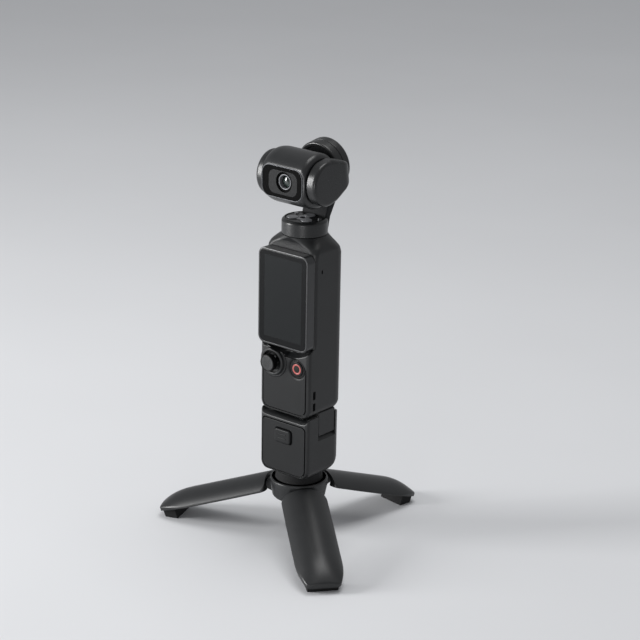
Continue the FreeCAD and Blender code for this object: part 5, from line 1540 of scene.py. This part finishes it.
@dataclass
class Gimbal:
    """The turning neck ring, its rising column, the roll motor's drums and the arm."""

    lean: float = 8.5
    drum: float = 13.6
    rotor: tuple[float, float] = (15.3, 20.2)
    stator: tuple[float, float] = (20.45, 25.6)
    disc: float = 11.8
    inner: float = 14.4
    outer: float = 20.2
    elbow: float = 7.6
    taper_start: float = 5.0
    tail: float = 5.4
    neck: Profile = (
        (1.6, 169.1, 0), (12.06, 169.1, 0.25), (12.06, 175.9, 0.5), (10.8, 177.18, 0.3),
        (10.3, 177.18, 0.15), (10.3, 175.1, 0), (1.6, 175.1, 0),
    )
    column_half: float = 8.2
    column_span: tuple[float, float] = (170.3, 193.0)
    # The column's front and rear edges in the side view: heights, then depths
    column_front: tuple[tuple[float, ...], ...] = (
        (170.3, 177.8, 182.6, 187.0, 188.3, 193.0),
        (7.3, 7.3, 9.3, 12.3, 17.4, 17.6),
    )
    column_rear: tuple[tuple[float, ...], ...] = (
        (170.3, 176.1, 190.5, 193.0),
        (10.1, 12.3, 20.6, 20.7),
    )

    def build(self, shop: Workshop) -> None:
        """Makes the ring, column, drums and arm, and softens the clip on the neck's disc.

        Args:
            shop: The workshop that makes them.
        """
        behind, sideways, above = (
            Place.of(way, 0.0, TILT_Y, TILT_Z).leaning(self.lean)
            for way in (Way.FRONT, Way.RIGHT, Way.UP)
        )
        shop.make("pan_arm", Use.ARM, "neck_ring", turned(self.neck, 5, 144), UPRIGHT, looped=True)
        shop.make("pan_arm", Use.COLUMN, "neck_column", self.column_rows(), UPRIGHT)
        near, far = self.stator
        stator = ((AXIS, -far, 0), (self.drum, -far, 2.0), (self.drum, -near, 0.35), (AXIS, -near, 0))
        shop.make("pan_arm", Use.ARM, "roll_housing", turned(stator, 8, 128), behind)
        shop.soft_copy("roll_cover", Use.ARM, edge=0.3)
        near, far = self.rotor
        rotor = (
            (AXIS, -far, 0), (self.drum, -far, 0.35), (self.drum, -near, 2.4),
            (self.drum - 2.3, -near, 0.2), (self.drum - 2.4, -near - 0.6, 0), (AXIS, -near - 0.6, 0),
        )
        disc = (
            (AXIS, self.inner, 0), (self.disc, self.inner, 0.8), (self.disc, self.outer, 1.9),
            (AXIS, self.outer, 0),
        )
        shop.make("roll_arm", Use.ARM, "roll_rotor", turned(rotor, 8, 128), behind)
        shop.make("roll_arm", Use.ARM, "tilt_housing", turned(disc, 8, 128), sideways)
        shop.make("roll_arm", Use.ARM, "roll_arm", self.arm_rows(), above)
        shop.soft_copy("neck_cap", Use.GLOSS, edge=0.15)
        # The clip's pale finish is a painted reflection
        shop.soft_copy("neck_clip", Use.CHROME_PAINTED_REFLECTION, edge=0.2)

    def column_rows(self) -> np.ndarray:
        """Level sections of the column, whose front and rear edges follow the side view.

        The corner radii are 0.9 and 3 mm, or 0.3 and 0.55 of the depth where it is thin.

        Returns:
            Array (rings, points, 3).
        """
        even = np.linspace(*self.column_span, 22)
        levels = np.unique(np.concatenate([even, self.column_front[0], self.column_rear[0]]))
        rows = []
        for level in levels:
            fore = float(np.interp(level, *self.column_front))
            rear = float(np.interp(level, *self.column_rear))
            near = min(0.9, 0.3 * (rear - fore))
            far = min(3.0, 0.55 * (rear - fore))
            section = Panel(-self.column_half, self.column_half, fore, rear, (near, far, far, near))
            rows.append(lifted(section.ring(), level))
        return np.stack(rows)

    def arm_rows(self) -> np.ndarray:
        """Sections of the arm's path: behind the head, round the elbow, and forward to the disc.

        At turn t of the elbow the section's outer side lies on an arc about the elbow's centre;
        its height follows the side view's taper and its corners are rounded.

        Returns:
            Array (sections, points, 3).
        """
        rear = self.rotor[1]
        cx = self.outer - self.elbow
        cy = rear - self.elbow
        behind = [(0.0, 1.0, x, rear) for x in np.linspace(0.0, cx, 6)[:-1]]
        elbow = [
            (sin, cos, cx + self.elbow * sin, cy + self.elbow * cos)
            for sin, cos in ((math.sin(t), math.cos(t)) for t in np.linspace(0.0, math.pi / 2, 15))
        ]
        forward = [(1.0, 0.0, self.outer - 0.01, y) for y in np.linspace(cy, 0.0, 7)[1:]]
        thick_rear = rear - self.rotor[0]
        thick_side = self.outer - self.inner
        slope = (self.disc - self.tail) / (rear - self.taper_start)
        rows = []
        for nx, ny, px, py in behind + elbow + forward:
            thick = thick_rear + (thick_side - thick_rear) * nx**2
            high = self.disc - slope * max(py - self.taper_start, 0.0)
            ring = Panel(-thick, 0.0, -high, high, (2.4, 2.4, 0.7, 0.7)).ring(8)
            rows.append(np.column_stack([px + nx * ring[:, 0], py + ny * ring[:, 0], ring[:, 1]]))
        return np.stack(rows)


@dataclass
class Head:
    """The camera head: a barrel along the tilt axis with a flat front, its window and the lens."""

    radius: float = 14.6
    flat: float = 12.4
    crease: float = 0.22
    left: float = -15.2
    left_radius: float = 12.2
    left_start: float = -9.0
    left_turn: float = 0.985
    right: float = 14.0
    right_round: float = 3.0
    pane_at: tuple[float, float] = (-0.3, -0.7)
    rim_at: tuple[float, float] = (-0.85, -0.6)
    lens_at: tuple[float, float] = (0.5, -0.1)
    bezel_bed: Panel = Panel(-13.3, 13.3, -8.3, 8.3, 4.9)
    bezel_bed_reach: tuple[float, float] = (10.7, 14.0)
    hollow: Panel = Panel(-10.4, 10.4, -7.2, 7.2, 3.0)
    hollow_reach: tuple[float, float] = (-8.0, 11.2)
    window: Panel = Panel(-9.55, 9.55, -6.3, 6.3, 3.95)
    window_reach: tuple[float, float] = (10.92, 12.62)
    window_hole: float = 5.35
    window_hole_reach: tuple[float, float] = (9.0, 14.0)
    rim: Panel = Panel(-13.5, 13.5, -8.5, 8.5, 5.1)
    # Distance in from the rim's outline, and level
    rim_section: tuple[tuple[float, float], ...] = (
        (0.0, 12.0), (0.0, 12.6), (0.08, 12.76), (0.2, 12.82), (0.32, 12.76), (0.38, 12.6), (0.38, 12.0),
    )
    # Half width, half height, corner radius and level of each ring of the dark frame
    frame_section: tuple[tuple[float, ...], ...] = (
        (13.28, 8.28, 4.95, 10.92), (13.06, 8.06, 4.75, 12.3), (13.0, 8.0, 4.7, 12.44),
        (12.8, 7.8, 4.6, 12.5), (8.7, 5.7, 3.6, 12.5), (8.6, 5.6, 3.6, 12.4), (8.6, 5.6, 3.6, 10.92),
    )
    cap: Profile = ((AXIS, -19.6, 0), (12.0, -19.6, 4.0), (12.0, -15.1, 0), (AXIS, -15.1, 0))
    barrel: Profile = ((4.15, 4.0, 0), (5.3, 4.0, 0), (5.3, 11.9, 0.25), (4.3, 11.7, 0.2), (4.15, 11.3, 0))
    ring: Profile = ((4.1, 9.7, 0), (4.1, 12.0, 0.25), (3.5, 12.0, 0.25), (3.3, 10.9, 0.1), (3.3, 9.7, 0))
    inner_glass: Profile = ((AXIS, 3.0, 0), (3.9, 3.0, 0), (3.9, 7.6, 0.3), (AXIS, 8.4, 0))
    glass_radius: float = 3.18
    glass_back: float = 9.0
    glass_edge: float = 9.55
    glass_rise: float = 1.35
    glass_turn: float = 62.0

    def build(self, shop: Workshop) -> None:
        """Makes the barrel, cap, rim, frame, window and lens.

        Args:
            shop: The workshop that makes them.
        """
        across = Place.of(Way.RIGHT, 0.0, TILT_Y, TILT_Z)
        front, edging, pane = (
            Place.of(Way.FRONT, x, TILT_Y, TILT_Z + z) for x, z in (self.lens_at, self.rim_at, self.pane_at)
        )
        barrel = shop.skin("head_barrel", self.barrel_rows(), across)
        cutters = [
            Cut("cut_bezel", self.bezel_bed, edging, *self.bezel_bed_reach).cutter(shop),
            Cut("cut_head_hollow", self.hollow, pane, *self.hollow_reach).cutter(shop),
        ]
        shop.keep(shop.finish(barrel, cutters), Use.HEAD, "head_shell")
        shop.make("head_left_cap", Use.HEAD, "head_cap", turned(self.cap, 12, 128), across)
        # The rim's pale finish is partly a painted highlight of its edge's shine
        shop.make("lens_bezel", Use.RIM_PAINTED_SHINE, "lens_rim", self.rim_rows(), edging, looped=True)
        shop.make("lens_bezel", Use.MATT_BLACK, "lens_frame", self.frame_rows(), edging, looped=True)
        rows = soft_slab(self.window, *self.window_reach, edge=0.22, steps=4)
        window = shop.skin("lens_window", rows, pane)
        hole = Cut("cut_lens", self.window_hole, front, *self.window_hole_reach, 64)
        shop.keep(shop.finish(window, [hole.cutter(shop)]), Use.WINDOW, "lens_window")
        self.lens(shop, front)

    def lens(self, shop: Workshop, front: Place) -> None:
        """The black barrel, its bright ring, and the domed front glass over a dark one.

        The dome's points lie at R sin(v a) / sin a from the axis, and rise in step with
        cos(v a), for v from 0 to 1 and the dome's half angle a.

        Args:
            shop: The workshop that makes them.
            front: The lens's own frame.
        """
        node = "lens_barrel"
        shop.make(node, Use.MATT_BLACK, node, turned(self.barrel, 5, 96), front, looped=True)
        # The ring's pale finish is partly a painted highlight of its edge's shine
        node = "lens_ring"
        shop.make(node, Use.RIM_PAINTED_SHINE, node, turned(self.ring, 5, 96), front, looped=True)
        a = math.radians(self.glass_turn)
        turn = a * np.linspace(1.0, 0.0, 14)
        radius = np.maximum(self.glass_radius * np.sin(turn) / math.sin(a), AXIS)
        height = self.glass_edge + self.glass_rise * (np.cos(turn) - math.cos(a)) / (1.0 - math.cos(a))
        back = [(AXIS, self.glass_back), (self.glass_radius, self.glass_back)]
        glass = turned_rows([*back, *zip(radius, height)], 96)
        shop.make("lens_elements", Use.GLASS, "lens_front_glass", glass, front)
        inner = turned(self.inner_glass, 5, 64)
        shop.make("lens_elements", Use.COATING, "lens_inner_glass", inner, front)

    def barrel_rows(self) -> np.ndarray:
        """Sections along the tilt axis: circles, pressed flat in front with soft corners.

        The front coordinate y of a circle's point becomes -flat + k ln(1 + e^((y + flat) / k)),
        k the crease; the radius narrows to the left in an ellipse's arc and to the right in a
        quarter round.

        Returns:
            Array (sections, points, 3).
        """
        turned_in = 1.0 - np.sin(np.linspace(0.0, math.pi / 2, 12))
        stations = np.concatenate([
            np.linspace(self.left, self.left_start, 14),
            [-4.0, 2.0, 8.0],
            self.right - self.right_round * turned_in,
        ])
        t = np.linspace(0.0, 2.0 * math.pi, 192, endpoint=False)
        k = self.crease
        full = 1.0 - math.sqrt(1.0 - self.left_turn)
        rows = []
        for x in stations:
            r = self.radius - self.right_round * quarter(self.right - x, self.right_round)
            if x < self.left_start:
                share = (self.left_start - x) / (self.left_start - self.left)
                narrowed = (1.0 - math.sqrt(1.0 - self.left_turn * share**2)) / full
                r -= (self.radius - self.left_radius) * narrowed
            pressed = -self.flat + k * np.logaddexp(0.0, (r * np.cos(t) + self.flat) / k)
            rows.append(np.column_stack([pressed, r * np.sin(t), np.full(len(t), x)]))
        return np.stack(rows)

    def rim_rows(self) -> np.ndarray:
        """The rim's small rounded section carried round the window's outline."""
        return np.stack([lifted(self.rim.grown(-p, -0.8 * p).ring(12), z) for p, z in self.rim_section])

    def frame_rows(self) -> np.ndarray:
        """The dark frame: a ring that slopes gently down to the window."""
        return np.stack([lifted(Panel(-w, w, -h, h, r).ring(12), z) for w, h, r, z in self.frame_section])


# The stage


@dataclass(frozen=True)
class Lamp:
    """A soft lamp: where it hangs in metres, its width and height, and its power in watts."""

    name: str
    spot: tuple[float, float, float]
    size: tuple[float, float]
    watts: float


@dataclass(frozen=True)
class Studio:
    """Camera, lamps, floor and background."""

    azimuth: float = 39.355
    elevation: float = 19.032
    focal_px: float = 2307.457
    px_per_mm: float = 1.906
    roll: float = 1.0
    centre_px: tuple[float, float] = (-16.690, -1.672)
    aim_height: float = 120.0
    photo_px: float = 640.0
    sensor_mm: float = 36.0
    # A tall key lamp at the left front, a broad one above and a weak fill at the right
    lamps: tuple[Lamp, ...] = (
        Lamp("key", (-0.85, -0.9, 0.34), (0.32, 0.75), 19.0),
        Lamp("top", (0.05, 0.15, 1.1), (0.6, 0.6), 4.5),
        Lamp("fill", (0.6, -1.1, 0.08), (0.4, 0.2), 3.0),
    )
    lamp_aim: tuple[float, float, float] = (0.0, 0.0, 0.1)
    world_colour: tuple[float, ...] = (0.8, 0.81, 0.83, 1.0)
    world_strength: float = 0.5
    shown_colour: tuple[float, ...] = (0.86, 0.865, 0.875, 1.0)
    shown_strength: float = 0.85
    floor_reach: float = 6.0

    def camera(self, stand: np.ndarray) -> None:
        """Puts the camera where the photograph was taken from.

        The image axes are the view's right and up turned by the roll about the line of sight;
        the eye lies back from the aim by focal length over scale.

        Args:
            stand: Where the neck's axis meets the floor, in millimetres.
        """
        a = math.radians(self.azimuth)
        e = math.radians(self.elevation)
        back = np.array([math.sin(a) * math.cos(e), -math.cos(a) * math.cos(e), math.sin(e)])
        right = np.array([math.cos(a), math.sin(a), 0.0])
        up = np.cross(back, right)
        distance = self.focal_px / self.px_per_mm
        aim = np.array([0.0, 0.0, self.aim_height])
        eye = (
            aim
            + back * distance
            - right * self.centre_px[0] / self.px_per_mm
            - up * self.centre_px[1] / self.px_per_mm
        )
        r = math.radians(self.roll)
        image_right = math.cos(r) * right + math.sin(r) * up
        image_up = -math.sin(r) * right + math.cos(r) * up
        data = bpy.data.cameras.new("camera")
        data.sensor_width = self.sensor_mm
        data.lens = self.focal_px / self.photo_px * self.sensor_mm
        data.clip_start = 0.01
        data.clip_end = 20.0
        camera = bpy.data.objects.new("camera", data)
        bpy.context.scene.collection.objects.link(camera)
        place = Matrix.Identity(4)
        for row in range(3):
            place[row][0] = image_right[row]
            place[row][1] = image_up[row]
            place[row][2] = back[row]
            place[row][3] = (eye[row] + stand[row]) * MM
        camera.matrix_world = place
        bpy.context.scene.camera = camera

    def hang_lamps(self) -> None:
        """Hangs each lamp so that it looks at the object's middle."""
        for lamp in self.lamps:
            data = bpy.data.lights.new(lamp.name, "AREA")
            data.shape = "RECTANGLE"
            data.size, data.size_y = lamp.size
            data.energy = lamp.watts
            thing = bpy.data.objects.new(lamp.name, data)
            bpy.context.scene.collection.objects.link(thing)
            thing.location = lamp.spot
            towards = Vector(self.lamp_aim) - Vector(lamp.spot)
            thing.rotation_euler = towards.to_track_quat("-Z", "Y").to_euler()

    def surround(self) -> None:
        """Hangs a world that the camera sees paler than the object does."""
        world = bpy.data.worlds.new("world")
        world.use_nodes = True
        tree = world.node_tree
        tree.nodes.clear()
        ray = add(tree, "ShaderNodeLightPath")
        kind = "ShaderNodeBackground"
        plain = add(tree, kind, {"Color": self.world_colour, "Strength": self.world_strength})
        shown = add(tree, kind, {"Color": self.shown_colour, "Strength": self.shown_strength})
        mixed = add(
            tree,
            "ShaderNodeMixShader",
            {},
            {0: ray.outputs["Is Camera Ray"], 1: plain.outputs[0], 2: shown.outputs[0]},
        )
        add(tree, "ShaderNodeOutputWorld", {}, {"Surface": mixed.outputs[0]})
        bpy.context.scene.world = world

    def lay_floor(self) -> None:
        """Lays a large pale floor that keeps the shadow."""
        r = self.floor_reach
        mesh = bpy.data.meshes.new("floor")
        mesh.from_pydata([(-r, -r, 0.0), (r, -r, 0.0), (r, r, 0.0), (-r, r, 0.0)], [], [(0, 1, 2, 3)])
        floor = bpy.data.objects.new("floor", mesh)
        bpy.context.scene.collection.objects.link(floor)
        # Matt card: pale and even, its grain too fine to see
        card = Finish(
            "floor_pale_card", "#d6d7d9", "#dadbdd", 0.85, drift_mm=300.0, grain_deep_mm=0.0
        )
        floor.data.materials.append(card.build())


def main() -> None:
    """Loads the frame, builds and dresses the pieces in order, and sets the stage."""
    logging.basicConfig(level=logging.INFO, format="%(name)s: %(message)s")
    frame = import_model()
    low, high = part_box("hub_pad")
    middle = (np.array(low) + np.array(high)) / 2.0 / MM
    stand = np.array([middle[0], middle[1] - HUB_Y, 0.0])
    wardrobe = Wardrobe(stand)
    for use, names in CAD_FINISH.items():
        for name in names:
            wardrobe.dress(frame["nodes"][name], use)
    record = frame["record"]
    shop = Workshop(
        stand,
        frame["nodes"],
        {node: body for body, nodes in record["behaviour"]["bodies"].items() for node in nodes},
        {part["node"]: part["material_slot"] for part in record["subparts"]},
        wardrobe,
    )
    for section in (Tripod(), Handle(), CameraBody(), Screen(), Controls(), Gimbal(), Head()):
        log.info("building %s", type(section).__name__)
        section.build(shop)
    studio = Studio()
    studio.camera(stand)
    studio.hang_lamps()
    studio.surround()
    studio.lay_floor()
    bpy.context.scene.view_settings.view_transform = "Standard"
    log.info("stage set")


if __name__ == "__main__":
    main()
